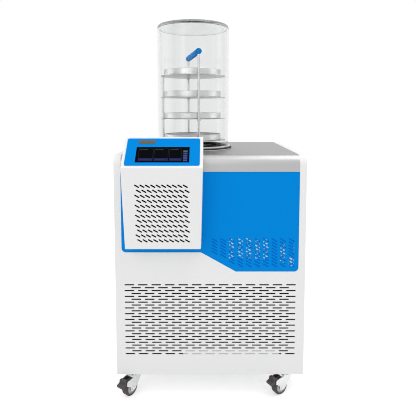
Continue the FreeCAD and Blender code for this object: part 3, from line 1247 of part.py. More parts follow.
def casters():
    """Four braked swivel casters; each side trails its own way."""
    for corner, x, y in caster_spots():
        swing = "trail_left" if corner.endswith("left") else "trail_right"
        sine, cosine = f"sin({swing} * 1deg)", f"cos({swing} * 1deg)"
        place(caster_plate(f"caster_plate_{corner}"), x, y, "caster_high")
        back = "(trail + pedal_back)"
        for piece, reach, z in (
                (caster_fork(f"caster_fork_{corner}"), "0", "caster_high"),
                (caster_hub(f"caster_hub_{corner}"), "trail", "wheel_radius"),
                (caster_tyre(f"caster_tyre_{corner}"), "trail", "wheel_radius"),
                (caster_pedal(f"caster_pedal_{corner}"), back, "wheel_radius + pedal_up")):
            turn(piece, V(0, 0, 1), swing)
            place(piece, f"{x} + {reach} * {sine}", f"{y} - {reach} * {cosine}", z)


# ---------------------------------------------------------------- the whole machine

def save():
    """Check every object and sub-part, then write one STEP file for each sub-part."""
    doc.recompute()
    parts = [o for o in doc.Objects
             if o.TypeId in ("PartDesign::Body", "Part::Feature") and o.Label != "housing_inside"]
    failed = [o.Name for o in doc.Objects if {"Invalid", "Error"} & set(o.State)]
    failed += [o.Label for o in parts if o.Shape.isNull() or not o.Shape.isValid()]
    if failed:
        raise RuntimeError(f"not built: {failed}")
    os.makedirs("parts", exist_ok=True)
    for part in parts:
        part.Shape.exportStep(f"parts/{part.Label}.step")
    print(len(parts), "sub-parts")


side_panel("left_side_panel", -1)
side_panel("right_side_panel", 1)
top_cover()
base_pan()
rear_panel()
cabinet_screws()
lower_front_panel()
upper_front_panel()
vent_backing()
power_supply()
control_housing()
control_fascia()
touch_screen()
control_board()
badge_plate()
chamber()
cold_trap_well()
evaporator_coil()
trap_insulation()
rack()
trays()
compressor()
condenser()
fan()
filter_drier()
refrigerant_pipes()
vacuum_port()
drain_valve()
drain_valve_lever()
power_module()
power_rocker()
casters()
caster_bolts()
save()
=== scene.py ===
"""Looks of a bench-side freeze dryer: the finish of every piece, and the small parts on them.

Metres.  +Z is up and the front faces -Y.
"""
import math

import bmesh
import bpy
from mathutils import Matrix, Vector


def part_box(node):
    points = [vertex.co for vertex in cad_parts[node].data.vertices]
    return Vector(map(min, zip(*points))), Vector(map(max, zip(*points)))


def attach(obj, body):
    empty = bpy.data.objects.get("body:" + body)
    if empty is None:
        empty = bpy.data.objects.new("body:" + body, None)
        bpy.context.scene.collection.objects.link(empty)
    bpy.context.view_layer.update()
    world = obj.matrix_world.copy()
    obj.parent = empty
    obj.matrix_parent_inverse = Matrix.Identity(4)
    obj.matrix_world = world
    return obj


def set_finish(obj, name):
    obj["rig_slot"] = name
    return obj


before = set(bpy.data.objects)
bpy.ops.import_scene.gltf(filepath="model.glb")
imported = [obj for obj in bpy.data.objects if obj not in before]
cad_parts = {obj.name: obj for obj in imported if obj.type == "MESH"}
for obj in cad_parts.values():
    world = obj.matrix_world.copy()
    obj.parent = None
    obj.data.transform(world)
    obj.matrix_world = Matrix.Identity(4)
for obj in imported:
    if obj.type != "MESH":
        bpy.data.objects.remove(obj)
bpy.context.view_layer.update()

bl_info = {
    "name": "Freeze dryer looks",
    "version": (1, 0, 0),
    "blender": (4, 5, 0),
    "location": "View3D > Sidebar > Freeze dryer",
    "description": "Finishes and small parts of a bench-side freeze dryer",
    "category": "Object",
}

MM = 0.001
CORNERS = ("front_left", "front_right", "rear_left", "rear_right")


def srgb(code):
    """The linear colour of an sRGB hex code."""
    parts = [int(code[i:i + 2], 16) / 255 for i in (0, 2, 4)]
    return tuple(p / 12.92 if p <= 0.04045 else ((p + 0.055) / 1.055) ** 2.4
                 for p in parts) + (1.0,)


def colour(name, code, use):
    """A colour that a user can change."""
    return bpy.props.FloatVectorProperty(name=name, description=use, subtype="COLOR", size=4,
                                         min=0.0, max=1.0, default=srgb(code))


class DryerColours(bpy.types.PropertyGroup):
    """Colours of the machine."""
    cabinet: colour("Cabinet", "E6E6E6", "Powder coat of the cabinet and the housing")
    panel: colour("Panel", "0087DC", "Blue of the front panel and the fascia")
    # a lighter blue than the panel's: painted light that makes up for the light the jar's walls
    # keep from the handle
    handle: colour("Handle", "079BF8", "Blue plastic of the rack's handle")
    steel: colour("Stainless steel", "B5B5B5", "Brushed top, trap, rack and trays")
    zinc: colour("Zinc", "E4E5E6", "Bright zinc plating")
    badge: colour("Badge", "6E685C", "Anodised blank plate")
    tyre: colour("Tyre", "443F3D", "Rubber of the tyres")
    pedal: colour("Pedal", "4A4646", "Plastic of the brake pedals")


class DryerStage(bpy.types.PropertyGroup):
    """Camera and light."""
    lens: bpy.props.FloatProperty(name="Lens", description="Focal length on a 36 mm sensor",
                                  default=36.82, min=10.0, max=200.0, unit="CAMERA")
    tilt: bpy.props.FloatProperty(name="Tilt", description="How far the camera looks down",
                                  default=math.radians(4.73), subtype="ANGLE", unit="ROTATION")
    shift: bpy.props.FloatProperty(name="Shift", description="Vertical shift of the lens",
                                   default=-0.15, min=-1.0, max=1.0, subtype="FACTOR")
    eye: bpy.props.FloatVectorProperty(name="Eye", description="Place of the camera",
                                       default=(-0.0066, -1.5186, 0.888), subtype="TRANSLATION",
                                       unit="LENGTH", size=3)
    ambient: bpy.props.FloatProperty(name="Ambient", description="Strength of the soft light",
                                     default=0.89, min=0.0, max=5.0, subtype="FACTOR")


# ---------------------------------------------------------------- shading helpers

def add_node(material, kind, inputs=(), **settings):
    """Add a shader node with its settings; an input is a value or another node's output."""
    tree = material.node_tree
    node = tree.nodes.new(kind)
    for name, value in settings.items():
        setattr(node, name, value)
    for name, value in dict(inputs).items():
        if isinstance(value, bpy.types.NodeSocket):
            tree.links.new(value, node.inputs[name])
        else:
            node.inputs[name].default_value = value
    return node


def surface(name, base, metallic=0.0, roughness=0.5, **sockets):
    """A material with one Principled shader, ready for nodes on its colour and bump."""
    material = bpy.data.materials.new(name)
    material.use_nodes = True
    shader = material.node_tree.nodes["Principled BSDF"]
    shader.inputs["Base Color"].default_value = base
    shader.inputs["Metallic"].default_value = metallic
    shader.inputs["Roughness"].default_value = roughness
    for socket, value in sockets.items():
        shader.inputs[socket.replace("_", " ")].default_value = value
    return material, shader


def grain(material, shader, size, depth, stretch=(1, 1, 1), rough=None, detail=3.0):
    """Bump from noise of a real grain size; rough=(low, high) lets the roughness follow it."""
    place = add_node(material, "ShaderNodeTexCoord").outputs["Object"]
    if stretch != (1, 1, 1):
        place = add_node(material, "ShaderNodeMapping",
                         {"Vector": place, "Scale": stretch}).outputs["Vector"]
    noise = add_node(material, "ShaderNodeTexNoise",
                     {"Vector": place, "Scale": 1 / size, "Detail": detail}).outputs["Fac"]
    bump = add_node(material, "ShaderNodeBump",
                    {"Height": noise, "Distance": depth, "Strength": 1.0})
    material.node_tree.links.new(bump.outputs["Normal"], shader.inputs["Normal"])
    if rough:
        spread = add_node(material, "ShaderNodeMapRange",
                          {"Value": noise, "From Min": 0.3, "From Max": 0.7,
                           "To Min": rough[0], "To Max": rough[1]})
        material.node_tree.links.new(spread.outputs["Result"], shader.inputs["Roughness"])
    return noise


def tint(material, shader, noise, one, two):
    """Colour that wanders between two near shades with a noise."""
    blend = add_node(material, "ShaderNodeMix", {"Factor": noise}, data_type="RGBA")
    for socket, value in zip([s for s in blend.inputs if s.name in ("A", "B")
                              and s.type == "RGBA"], (one, two)):
        socket.default_value = value
    result = [s for s in blend.outputs if s.type == "RGBA"][0]
    material.node_tree.links.new(result, shader.inputs["Base Color"])


def shade(base, factor):
    """A colour made lighter or darker."""
    return tuple(min(1.0, c * factor) for c in base[:3]) + (1.0,)


# ---------------------------------------------------------------- finishes

def powder_coat(name, base, shine=0.3):
    """Powder-coated sheet steel: satin, with a faint orange-peel skin."""
    material, shader = surface(name, base, roughness=0.5, Specular_IOR_Level=shine)
    # the real skin has waves of about 1 mm; 2.5 mm reads at this distance
    noise = grain(material, shader, 2.5 * MM, 0.02 * MM)
    tint(material, shader, noise, shade(base, 0.985), shade(base, 1.015))
    return material


def moulded(name, base, roughness=0.45, shine=0.3, size=0.8 * MM, depth=0.02 * MM):
    """Moulded plastic with a spark-eroded texture from its tool: a soft, even sheen."""
    # the real pits are about 0.2 mm across; drawn coarser so that they show
    material, shader = surface(name, base, roughness=roughness, Specular_IOR_Level=shine)
    noise = grain(material, shader, size, depth)
    tint(material, shader, noise, shade(base, 0.97), shade(base, 1.03))
    return material


def brushed_steel(name, base, along=(1, 60, 60), rough=(0.24, 0.36)):
    """Stainless steel brushed in one direction: long fine scratches that spread a reflection."""
    # the scratches shade one another at a low angle, so the edge tint is darker than a mirror's
    material, shader = surface(name, base, metallic=1.0, roughness=0.3,
                               Specular_Tint=(0.75, 0.75, 0.75, 1))
    # scratches about 0.3 mm apart and 20 mm long
    noise = grain(material, shader, 18 * MM, 0.012 * MM, stretch=along, rough=rough, detail=4.0)
    tint(material, shader, noise, shade(base, 0.93), shade(base, 1.05))
    return material


def bright_zinc(name, base):
    """Zinc or nickel plating: bright, with the soft cloudiness of the bath."""
    material, shader = surface(name, base, metallic=1.0, roughness=0.2)
    noise = grain(material, shader, 6 * MM, 0.03 * MM, rough=(0.14, 0.3))
    tint(material, shader, noise, shade(base, 0.9), shade(base, 1.05))
    return material


def acrylic(name, depth=6.0):
    """Clear polished acrylic: faint upright grey streaks, which are painted reflections, and
    greyer where the eye looks along more of it, at its rims."""
    material, shader = surface(name, srgb("F9FAFA"), roughness=0.0, IOR=1.49,
                               Specular_Tint=(0.15, 0.15, 0.15, 1), Transmission_Weight=1.0)
    # painted reflections: faint grey streaks about 35 mm apart that run the whole height
    place = add_node(material, "ShaderNodeTexCoord").outputs["Object"]
    drawn = add_node(material, "ShaderNodeMapping", {"Vector": place, "Scale": (28, 28, 0.3)})
    marks = add_node(material, "ShaderNodeTexNoise",
                     {"Vector": drawn.outputs["Vector"], "Scale": 1.0, "Detail": 1.0})
    # the streaks are painted reflections in the colour, not marks in the acrylic
    tint(material, shader, marks.outputs["Fac"], srgb("E8EAEA"), srgb("FFFFFF"))
    grey = add_node(material, "ShaderNodeVolumeAbsorption",
                    {"Color": srgb("808486"), "Density": depth})
    output = material.node_tree.nodes["Material Output"]
    material.node_tree.links.new(grey.outputs["Volume"], output.inputs["Volume"])
    return material


def rubber(name, base, roughness=0.6):
    """Moulded rubber or cut foam: matt, with a fine skin that takes the light unevenly."""
    # the real skin's grain is about 0.2 mm; drawn at 0.6 mm so that it shows
    material, shader = surface(name, base, roughness=roughness, Specular_IOR_Level=0.35)
    noise = grain(material, shader, 0.6 * MM, 0.03 * MM)
    tint(material, shader, noise, shade(base, 0.8), shade(base, 1.2))
    return material


def copper_tube(name):
    """Drawn copper, slightly tarnished: bright in places and brown in others."""
    material, shader = surface(name, srgb("C07B52"), metallic=1.0, roughness=0.3)
    noise = grain(material, shader, 9 * MM, 0.02 * MM, rough=(0.22, 0.42))
    tint(material, shader, noise, srgb("A9653F"), srgb("CF8C61"))
    return material


def fin_stack(name):
    """Aluminium condenser fins: upright plates 2 mm apart, with painted shade in the gaps between
    them.
    """
    material, shader = surface(name, srgb("B9BBBE"), metallic=1.0, roughness=0.4)
    place = add_node(material, "ShaderNodeTexCoord").outputs["Object"]
    # a wave band repeats every pi / 10 of its scaled length, hence the factor
    fins = add_node(material, "ShaderNodeTexWave",
                    {"Vector": place, "Scale": math.pi / 10 / (2 * MM)},
                    bands_direction="X").outputs["Fac"]
    bump = add_node(material, "ShaderNodeBump", {"Height": fins, "Distance": 0.6 * MM})
    material.node_tree.links.new(bump.outputs["Normal"], shader.inputs["Normal"])
    # the dark bands are painted shade in the gaps between the fins
    tint(material, shader, fins, srgb("3A3C3F"), srgb("C9CBCE"))
    return material


def glossy(name, base, roughness=0.12, shine=0.5, coat=0.4):
    """Enamel, glass or dipped plastic: small bright reflections on a deep colour."""
    material, shader = surface(name, base, roughness=roughness, Specular_IOR_Level=shine,
                               Coat_Weight=coat, Coat_Roughness=0.05)
    # long shallow waves, about 30 mm apart, bend what it mirrors
    noise = grain(material, shader, 30 * MM, 0.02 * MM)
    tint(material, shader, noise, shade(base, 0.95), shade(base, 1.05))
    return material


def lit(name, base, strength):
    """A lit field of the display, with the faint mottle of its grid of dots."""
    material, shader = surface(name, base, roughness=0.4, Emission_Color=base,
                               Emission_Strength=strength, Specular_IOR_Level=0.1)
    # the dots are 0.3 mm apart; drawn at 1.2 mm so that they show
    noise = grain(material, shader, 1.2 * MM, 0.005 * MM)
    tint(material, shader, noise, shade(base, 0.8), shade(base, 1.2))
    return material


def frosted(name, base, clear):
    """Bonded or ground acrylic: milky where it scatters, partly clear."""
    material, shader = surface(name, base, roughness=0.35, IOR=1.49,
                               Transmission_Weight=clear)
    # grinding marks are under 0.5 mm; drawn at 1.5 mm so that they show
    noise = grain(material, shader, 1.5 * MM, 0.02 * MM)
    tint(material, shader, noise, shade(base, 0.96), shade(base, 1.02))
    return material


def open_foam(name, base):
    """Open-cell filter foam: matt, with cells of about 1 mm that read as a rough dark skin."""
    material, shader = surface(name, base, roughness=0.95, Specular_IOR_Level=0.1)
    place = add_node(material, "ShaderNodeTexCoord").outputs["Object"]
    cells = add_node(material, "ShaderNodeTexVoronoi", {"Vector": place, "Scale": 1 / (1.2 * MM)})
    bump = add_node(material, "ShaderNodeBump",
                    {"Height": cells.outputs["Distance"], "Distance": 0.4 * MM})
    material.node_tree.links.new(bump.outputs["Normal"], shader.inputs["Normal"])
    tint(material, shader, cells.outputs["Distance"], shade(base, 0.5), shade(base, 1.5))
    return material


def perforated(name, sheet, seen, step=(10.5 * MM, 6.5 * MM), hole=9.5 * MM):
    """Painted sheet with staggered oval holes that show bright metal behind it."""
    # a real cover's holes are about half as wide; these read at this distance
    material, shader = surface(name, sheet, roughness=0.4, Specular_IOR_Level=0.2)
    place = add_node(material, "ShaderNodeTexCoord").outputs["Object"]
    first, flatness, soft_edge = (5 * MM, 4 * MM), 1.3, 0.3 * MM
    reach = []
    # two sets of holes, the second in the middles between the first
    for across, up in (first, (first[0] + step[0], first[1] + step[1])):
        moved = add_node(material, "ShaderNodeVectorMath", {0: place, 1: (-across, 0, -up)},
                         operation="ADD")
        cell = add_node(material, "ShaderNodeVectorMath",
                        {0: moved.outputs["Vector"], 1: (step[0], 1, step[1]),
                         2: (-step[0], -1, -step[1])}, operation="WRAP")
        flat = add_node(material, "ShaderNodeVectorMath",
                        {0: cell.outputs["Vector"], 1: (1, 0, flatness)},
                        operation="MULTIPLY")
        far = add_node(material, "ShaderNodeVectorMath", {0: flat.outputs["Vector"]},
                       operation="LENGTH")
        reach.append(far.outputs["Value"])
    near = add_node(material, "ShaderNodeMath", {0: reach[0], 1: reach[1]}, operation="MINIMUM")
    painted = add_node(material, "ShaderNodeMapRange",
                       {"Value": near.outputs[0], "From Min": hole / 2 - soft_edge,
                        "From Max": hole / 2 + soft_edge}).outputs["Result"]
    bump = add_node(material, "ShaderNodeBump", {"Height": painted, "Distance": 0.5 * MM})
    material.node_tree.links.new(bump.outputs["Normal"], shader.inputs["Normal"])
    tint(material, shader, painted, seen, sheet)
    return material


FINISHES = {}


def make_finishes(colours):
    """Every material, by a short name of its finish."""
    steel, zinc = tuple(colours.steel), tuple(colours.zinc)
    FINISHES.update({
        "cabinet": powder_coat("white_powder_coat", tuple(colours.cabinet)),
        "panel": powder_coat("blue_powder_coat", shade(tuple(colours.panel), 0.95), shine=0.03),
        # a darker blue than the panel's: painted shade on the sheet behind the slots
        "shaded": powder_coat("blue_inner_sheet", srgb("0072D4"), shine=0.05),
        "housing": moulded("moulded_white_abs", tuple(colours.cabinet)),
        "fascia": moulded("blue_satin_film", shade(tuple(colours.panel), 0.92), roughness=0.5,
                          shine=0.02),
        # lighter than the plastic's own blue: painted light for the handle inside the jar
        "handle": moulded("moulded_blue_nylon", tuple(colours.handle), roughness=0.5, shine=0.04),
        "top": brushed_steel("brushed_stainless_sheet", steel, rough=(0.38, 0.48)),
        # blasted rather than brushed, so its marks run in no direction
        "satin": brushed_steel("satin_stainless_sheet", shade(steel, 1.7), along=(3, 3, 3),
                               rough=(0.28, 0.36)),
        "rod": brushed_steel("drawn_stainless_rod", shade(steel, 1.45), along=(40, 40, 1),
                             rough=(0.18, 0.28)),
        "zinc": bright_zinc("bright_zinc_plate", zinc),
        "acrylic": acrylic("clear_cast_acrylic"),
        "lid": acrylic("clear_acrylic_lid", depth=4.0),
        "gasket": rubber("black_gasket_rubber", srgb("161616")),
        "tyre": rubber("dark_tyre_rubber", tuple(colours.tyre), roughness=0.5),
        "hub": moulded("moulded_grey_hub", srgb("8E8C8A")),
        "pedal": moulded("moulded_dark_pedal", tuple(colours.pedal), roughness=0.5),
        "glass": glossy("black_display_glass", srgb("030409"), roughness=0.15, shine=0.03,
                        coat=0.0),
        "badge": brushed_steel("anodised_badge_plate", tuple(colours.badge)),
        "board": moulded("green_circuit_board", srgb("1F5A33"), roughness=0.3),
        "copper": copper_tube("drawn_copper_tube"),
        "foam": rubber("cut_cream_foam", srgb("E3DCC3"), roughness=0.85),
        "enamel": glossy("black_enamel", srgb("151515")),
        "fins": fin_stack("aluminium_fin_stack"),
        "black": moulded("moulded_black_nylon", srgb("1B1B1C")),
        "nickel": bright_zinc("nickel_plated_brass", srgb("C9C2AE")),
        "lever": glossy("red_dipped_lever", srgb("B3221C"), roughness=0.35),
        "dim_line": lit("display_outline", srgb("181C20"), 0.5),
        "dim_text": lit("display_text", srgb("2A3136"), 0.7),
        "blue_glow": lit("display_blue_glow", srgb("11174A"), 0.5),
        "green_key": lit("display_green_key", srgb("2C4A46"), 0.8),
        "blue_key": lit("display_blue_key", srgb("2B3566"), 0.8),
        "filter": open_foam("black_filter_foam", srgb("060606")),
        "rail": powder_coat("pale_powder_coat", srgb("C4C4CC")),
        "cover": perforated("perforated_blue_cover", srgb("0084E0"), srgb("ECFFFF")),
        "frosted": frosted("ground_acrylic_edge", srgb("F0F0F0"), 0.35),
        "joint": frosted("bonded_acrylic_joint", srgb("B4B6B8"), 0.6),
        "hub_bright": moulded("moulded_pale_hub_cover", srgb("BEBCB9")),
        "white_mark": moulded("white_printed_mark", srgb("E8E8E8")),
    })


NODE_FINISH = {
    "left_side_panel": "cabinet", "right_side_panel": "cabinet", "rear_panel": "cabinet",
    "lower_front_panel": "cabinet", "upper_front_panel": "panel", "vent_backing": "shaded",
    "control_housing": "housing", "control_fascia": "fascia", "touch_screen": "glass",
    "badge_plate": "badge", "control_board": "board", "top_cover": "top",
    "base_pan": "zinc", "cabinet_screws": "zinc", "power_supply": "cover",
    "chamber_tube": "acrylic", "chamber_cap": "lid", "chamber_gasket": "gasket",
    "cold_trap_well": "satin", "evaporator_coil": "copper", "trap_insulation": "foam",
    "rack_frame": "rod", "rack_shelves": "satin", "rack_handle": "handle",
    "compressor": "enamel", "condenser": "fins", "fan_motor": "zinc",
    "condenser_fan": "black", "filter_drier": "copper", "refrigerant_pipes": "copper",
    "vacuum_port": "satin", "drain_valve": "nickel", "drain_valve_lever": "lever",
    "power_module": "black", "power_rocker": "black", "caster_bolts": "zinc",
}
NODE_FINISH.update({f"tray_{i}": "satin" for i in range(1, 5)})
for corner in CORNERS:
    NODE_FINISH.update({f"caster_plate_{corner}": "zinc", f"caster_fork_{corner}": "zinc",
                        f"caster_hub_{corner}": "hub", f"caster_tyre_{corner}": "tyre",
                        f"caster_pedal_{corner}": "pedal"})


class DRYER_OT_finishes(bpy.types.Operator):
    """Give every construction piece its finish"""
    bl_idname = "dryer.finishes"
    bl_label = "Finishes"

    def execute(self, context):
        make_finishes(context.scene.dryer_colours)
        for name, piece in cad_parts.items():
            piece.data.materials.clear()
            piece.data.materials.append(FINISHES[NODE_FINISH[name]])
        return {"FINISHED"}


# ---------------------------------------------------------------- modelling helpers

def start():
    """Leave edit mode and select nothing, ready for a new piece."""
    if bpy.context.object and bpy.context.object.mode != "OBJECT":
        bpy.ops.object.mode_set(mode="OBJECT")
    bpy.ops.object.select_all(action="DESELECT")


def pick(kind, test):
    """Select the faces or edges being edited that pass a test, and no others."""
    bpy.context.tool_settings.mesh_select_mode = (False, kind == "edges", kind == "faces")
    data = bpy.context.object.data
    mesh = bmesh.from_edit_mesh(data)
    for thing in (*mesh.verts, *mesh.edges, *mesh.faces):
        thing.select = False
    for thing in [t for t in getattr(mesh, kind) if test(t)]:
        thing.select_set(True)
    mesh.select_flush_mode()
    bmesh.update_edit_mesh(data)


def middle(thing):
    """The middle of a face or an edge, in millimetres."""
    return sum((v.co for v in thing.verts), Vector()) / len(thing.verts) / MM


def block(low, high):
    """A box between two corners in millimetres, left in edit mode."""
    start()
    low, high = Vector(low) * MM, Vector(high) * MM
    bpy.ops.mesh.primitive_cube_add(size=1, location=(low + high) / 2, scale=high - low)
    bpy.ops.object.transform_apply(location=True, rotation=True, scale=True)
    bpy.ops.object.mode_set(mode="EDIT")


def rod(centre, radius, low, high, sides=48, axis="Z"):
    """A round bar in millimetres along an axis, left in edit mode."""
    start()
    place = list(centre)
    place["XYZ".index(axis)] = (low + high) / 2
    turn = {"X": (0, math.pi / 2, 0), "Y": (math.pi / 2, 0, 0), "Z": (0, 0, 0)}[axis]
    bpy.ops.mesh.primitive_cylinder_add(vertices=sides, radius=radius * MM,
                                        depth=(high - low) * MM, rotation=turn,
                                        location=Vector(place) * MM)
    bpy.ops.object.transform_apply(location=True, rotation=True, scale=True)
    bpy.ops.object.mode_set(mode="EDIT")


def soften(width, test=lambda edge: edge.calc_face_angle(0) > 0.5, segments=2):
    """Bevel the edges that pass a test; the width is in millimetres."""
    pick("edges", test)
    bpy.ops.mesh.bevel(offset=width * MM, segments=segments, affect="EDGES")


def ends(axis, places, slack=0.01):
    """A test for faces square to an axis at any of some places, in millimetres."""
    index = "XYZ".index(axis)
    return lambda face: (abs(face.normal[index]) > 0.99
                         and any(abs(middle(face)[index] - p) < slack for p in places))


def ring(centre, inside, outside, low, high, round_edge=0.0, sides=96, axis="Z"):
    """A flat ring in millimetres: a bar whose ends are inset and bridged through."""
    rod(centre, outside, low, high, sides, axis)
    pick("faces", ends(axis, (low, high)))
    bpy.ops.mesh.inset(thickness=(outside - inside) * MM * math.cos(math.pi / sides))
    bpy.ops.mesh.bridge_edge_loops()
    bpy.ops.mesh.select_all(action="SELECT")
    bpy.ops.mesh.normals_make_consistent(inside=False)
    if round_edge:
        soften(round_edge)


def repeat(count, step):
    """Copy what is being edited along a line, by a step in millimetres."""
    bpy.ops.object.mode_set(mode="OBJECT")
    array = bpy.context.object.modifiers.new("repeat", "ARRAY")
    array.use_relative_offset, array.use_constant_offset = False, True
    array.count, array.constant_offset_displace = count, Vector(step) * MM
    bpy.ops.object.modifier_apply(modifier=array.name)
    bpy.ops.object.mode_set(mode="EDIT")


def settle(name, finish, slot, body="root", turn=None, smooth=35):
    """Finish a piece: place in its mesh, name, finish, body and slot."""
    bpy.ops.object.mode_set(mode="OBJECT")
    piece = bpy.context.object
    if turn is not None:
        piece.matrix_world = turn @ piece.matrix_world
    bpy.ops.object.transform_apply(location=True, rotation=True, scale=True)
    piece.name = piece.data.name = name
    piece.data.materials.clear()
    piece.data.materials.append(FINISHES[finish])
    bpy.ops.object.shade_smooth_by_angle(angle=math.radians(smooth))
    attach(piece, body)
    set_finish(piece, slot)
    return piece


def copied(piece, name, move, body):
    """A copy of a finished piece with its own mesh, carried by a matrix."""
    twin = piece.copy()
    twin.data = piece.data.copy()
    twin.data.transform(move)
    bpy.context.collection.objects.link(twin)
    twin.name = twin.data.name = name
    twin.parent = None
    twin.matrix_world = Matrix.Identity(4)
    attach(twin, body)
    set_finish(twin, piece["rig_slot"])
    return twin


def box(node):
    """The corners of a construction piece, in millimetres."""
    low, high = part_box(node)
    return low / MM, high / MM


def heart(node):
    """The middle of a construction piece's box, in millimetres."""
    return tuple((low + high) / 2 for low, high in zip(*box(node)))


def face_frame(node):
    """The middle of a node's largest sloping face with its axes, and its size in millimetres."""
    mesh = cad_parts[node].data
    areas = {}
    for polygon in mesh.polygons:
        normal = tuple(round(n, 2) for n in polygon.normal)
        if normal[2] > 0.2 and normal[1] < -0.2:
            areas[normal] = areas.get(normal, 0) + polygon.area
    outward = Vector(max(areas, key=areas.get)).normalized()
    across = Vector((1, 0, 0))
    upward = outward.cross(across).normalized()
    level = max(v.co.dot(outward) for v in mesh.vertices)
    spots = [(v.co.dot(across), v.co.dot(upward)) for v in mesh.vertices
             if level - v.co.dot(outward) < 0.05 * MM]
    low, high = [[extreme(s[i] for s in spots) for i in (0, 1)] for extreme in (min, max)]
    centre = (across * (low[0] + high[0]) + upward * (low[1] + high[1])) / 2 + outward * level
    turn = Matrix((across, upward, outward)).transposed().to_4x4()
    turn.translation = centre
    return turn, (high[0] - low[0]) / MM, (high[1] - low[1]) / MM


# ---------------------------------------------------------------- small parts

class DRYER_OT_display(bpy.types.Operator):
    """Lit fields and keys of the touch screen"""
    bl_idname = "dryer.display"
    bl_label = "Display"

    def execute(self, context):
        place, wide, high = face_frame("touch_screen")
        top, left, right = high / 2, -wide / 2, wide / 2
        # where each field starts, and its width
        fields = ((left + 8, 42), (left + 53, 41), (left + 97, 36))
        # how far the outlines, bars, readings and keys stand out of the glass
        outline, bar, reading, key = 0.12, 0.1, 0.16, 0.14
        for i, (x, w) in enumerate(fields, start=1):
            # a thin lit outline
            block((x, top - 53, 0), (x + w, top - 7, outline))
            pick("faces", ends("Z", (0, outline)))
            bpy.ops.mesh.inset(thickness=0.7 * MM)
            bpy.ops.mesh.bridge_edge_loops()
            soften(0.03)
            settle(f"display_field_{i}", "dim_line", "display_glass", turn=place)
            # its heading: a short and a long bar
            for part, (start_x, long) in enumerate(((x + 3, 6), (x + 11, 15)), start=1):
                block((start_x, top - 11.4, 0), (start_x + long, top - 9.6, bar))
                soften(0.04)
                settle(f"display_heading_{i}_{part}", "dim_text", "display_glass", turn=place)
            # the lit bar along its foot
            block((x + 1, top - 52, 0), (x + w - 1, top - 43, bar))
            pick("faces", ends("Z", (bar,)))
            bpy.ops.mesh.inset(thickness=1.2 * MM, depth=-0.03 * MM)
            settle(f"display_bar_{i}", "blue_glow", "display_glass", turn=place)
            # a row of small reading blocks along the lit bar
            reading_step = 6
            block((x + 5, top - 47.8, bar), (x + 9, top - 46.4, reading))
            soften(0.03)
            repeat(int((w - 8) // reading_step), (reading_step, 0, 0))
            settle(f"display_reading_{i}", "dim_text", "display_glass", turn=place)
        # a column of keys at the right
        keys, key_step, key_high = 5, 8.6, 6.2
        for i in range(keys):
            y = top - 13.5 - key_step * i
            block((right - 18, y - key_high, 0), (right - 6, y, key))
            pick("faces", ends("Z", (key,)))
            bpy.ops.mesh.inset(thickness=1.6 * MM, depth=0.05 * MM)
            soften(0.04)
            settle(f"display_key_{i + 1}", "green_key" if i == 0 else "blue_key",
                   "display_glass", turn=place)
        return {"FINISHED"}


class DRYER_OT_filters(bpy.types.Operator):
    """Dust filters behind the grille and the vents, their rail and the supply's flange"""
    bl_idname = "dryer.filters"
    bl_label = "Dust filters"

    def execute(self, context):
        low, high = box("lower_front_panel")
        back = high.y
        # the mat behind the grille
        margin, face = 8, back + 1.4
        block((low.x + margin, face, 118), (high.x - margin, back + 3.4, 380))
        pick("faces", ends("Y", (face,)))
        bpy.ops.mesh.inset(thickness=5 * MM, depth=-0.6 * MM)
        soften(0.4)
        settle("grille_filter", "filter", "black_plastic")
        # the pale rail across the mat's foot, with a thin lip on its upper edge
        rail_top = 151
        block((-84, back + 0.2, 129), (214, back + 1.2, rail_top))
        pick("faces", ends("Z", (rail_top,)))
        bpy.ops.mesh.extrude_region_move(TRANSFORM_OT_translate={"value": (0, 0, 1.2 * MM)})
        bpy.ops.transform.resize(value=(0.995, 0.5, 1))
        soften(0.25)
        settle("filter_rail", "rail", "white_paint")
        # the bright flange at the end of the power supply, seen at the slots' ends
        low, high = box("power_supply")
        face, left, right = low.y - 1.2, 243.6, 250.4
        block((left, face, high.z - 72), (right, low.y - 0.4, high.z - 4))
        pick("faces", ends("Y", (face,)))
        bpy.ops.mesh.inset(thickness=0.8 * MM, depth=0.15 * MM)
        settle("supply_flange", "white_mark", "zinc_plate")
        # the mat inside the housing, along its leaning front wall
        low, high = box("control_housing")
        # the wall goes back by 20 over a height of 242, below a crease
        lean = Matrix.Rotation(math.atan2(20, 242), 4, "X")
        crease = Vector((heart("control_housing")[0], low.y, high.z - 81.5))
        half_width, wall = 110, 2.7
        block((-half_width, wall, -232), (half_width, wall + 2, -34))
        pick("faces", ends("Y", (wall,)))
        bpy.ops.mesh.inset(thickness=6 * MM, depth=-0.5 * MM)
        soften(0.5)
        settle("housing_filter", "filter", "black_plastic",
               turn=Matrix.Translation(crease * MM) @ lean)
        return {"FINISHED"}


class DRYER_OT_chamber_parts(bpy.types.Operator):
    """Foot ring of the chamber, collar of the trap and joint of the lid"""
    bl_idname = "dryer.chamber_parts"
    bl_label = "Chamber rings"

    def execute(self, context):
        low, high = box("chamber_tube")
        centre, radius = heart("chamber_tube")[:2] + (0,), (high.x - low.x) / 2
        # bonded ring that widens the jar's foot, on the gasket
        rest = box("chamber_gasket")[1].z
        ring(centre, radius + 0.1, radius + 5.5, rest, rest + 5, 0.8)
        settle("chamber_foot_ring", "frosted", "clear_acrylic")
        # rubber collar round the mouth of the trap, inside the jar
        seat = box("cold_trap_well")[1].z + 4
        ring(centre, 97.5, 103, seat, seat + 10, 1.8)
        settle("trap_collar", "gasket", "black_rubber")
        # thin line of cement between the jar's wall and its lid
        top = box("chamber_cap")[0].z
        half_line = 0.25
        ring(centre, radius - 4.6, radius - 0.4, top - half_line, top + half_line, 0.1)
        settle("lid_joint", "joint", "clear_acrylic")
        return {"FINISHED"}


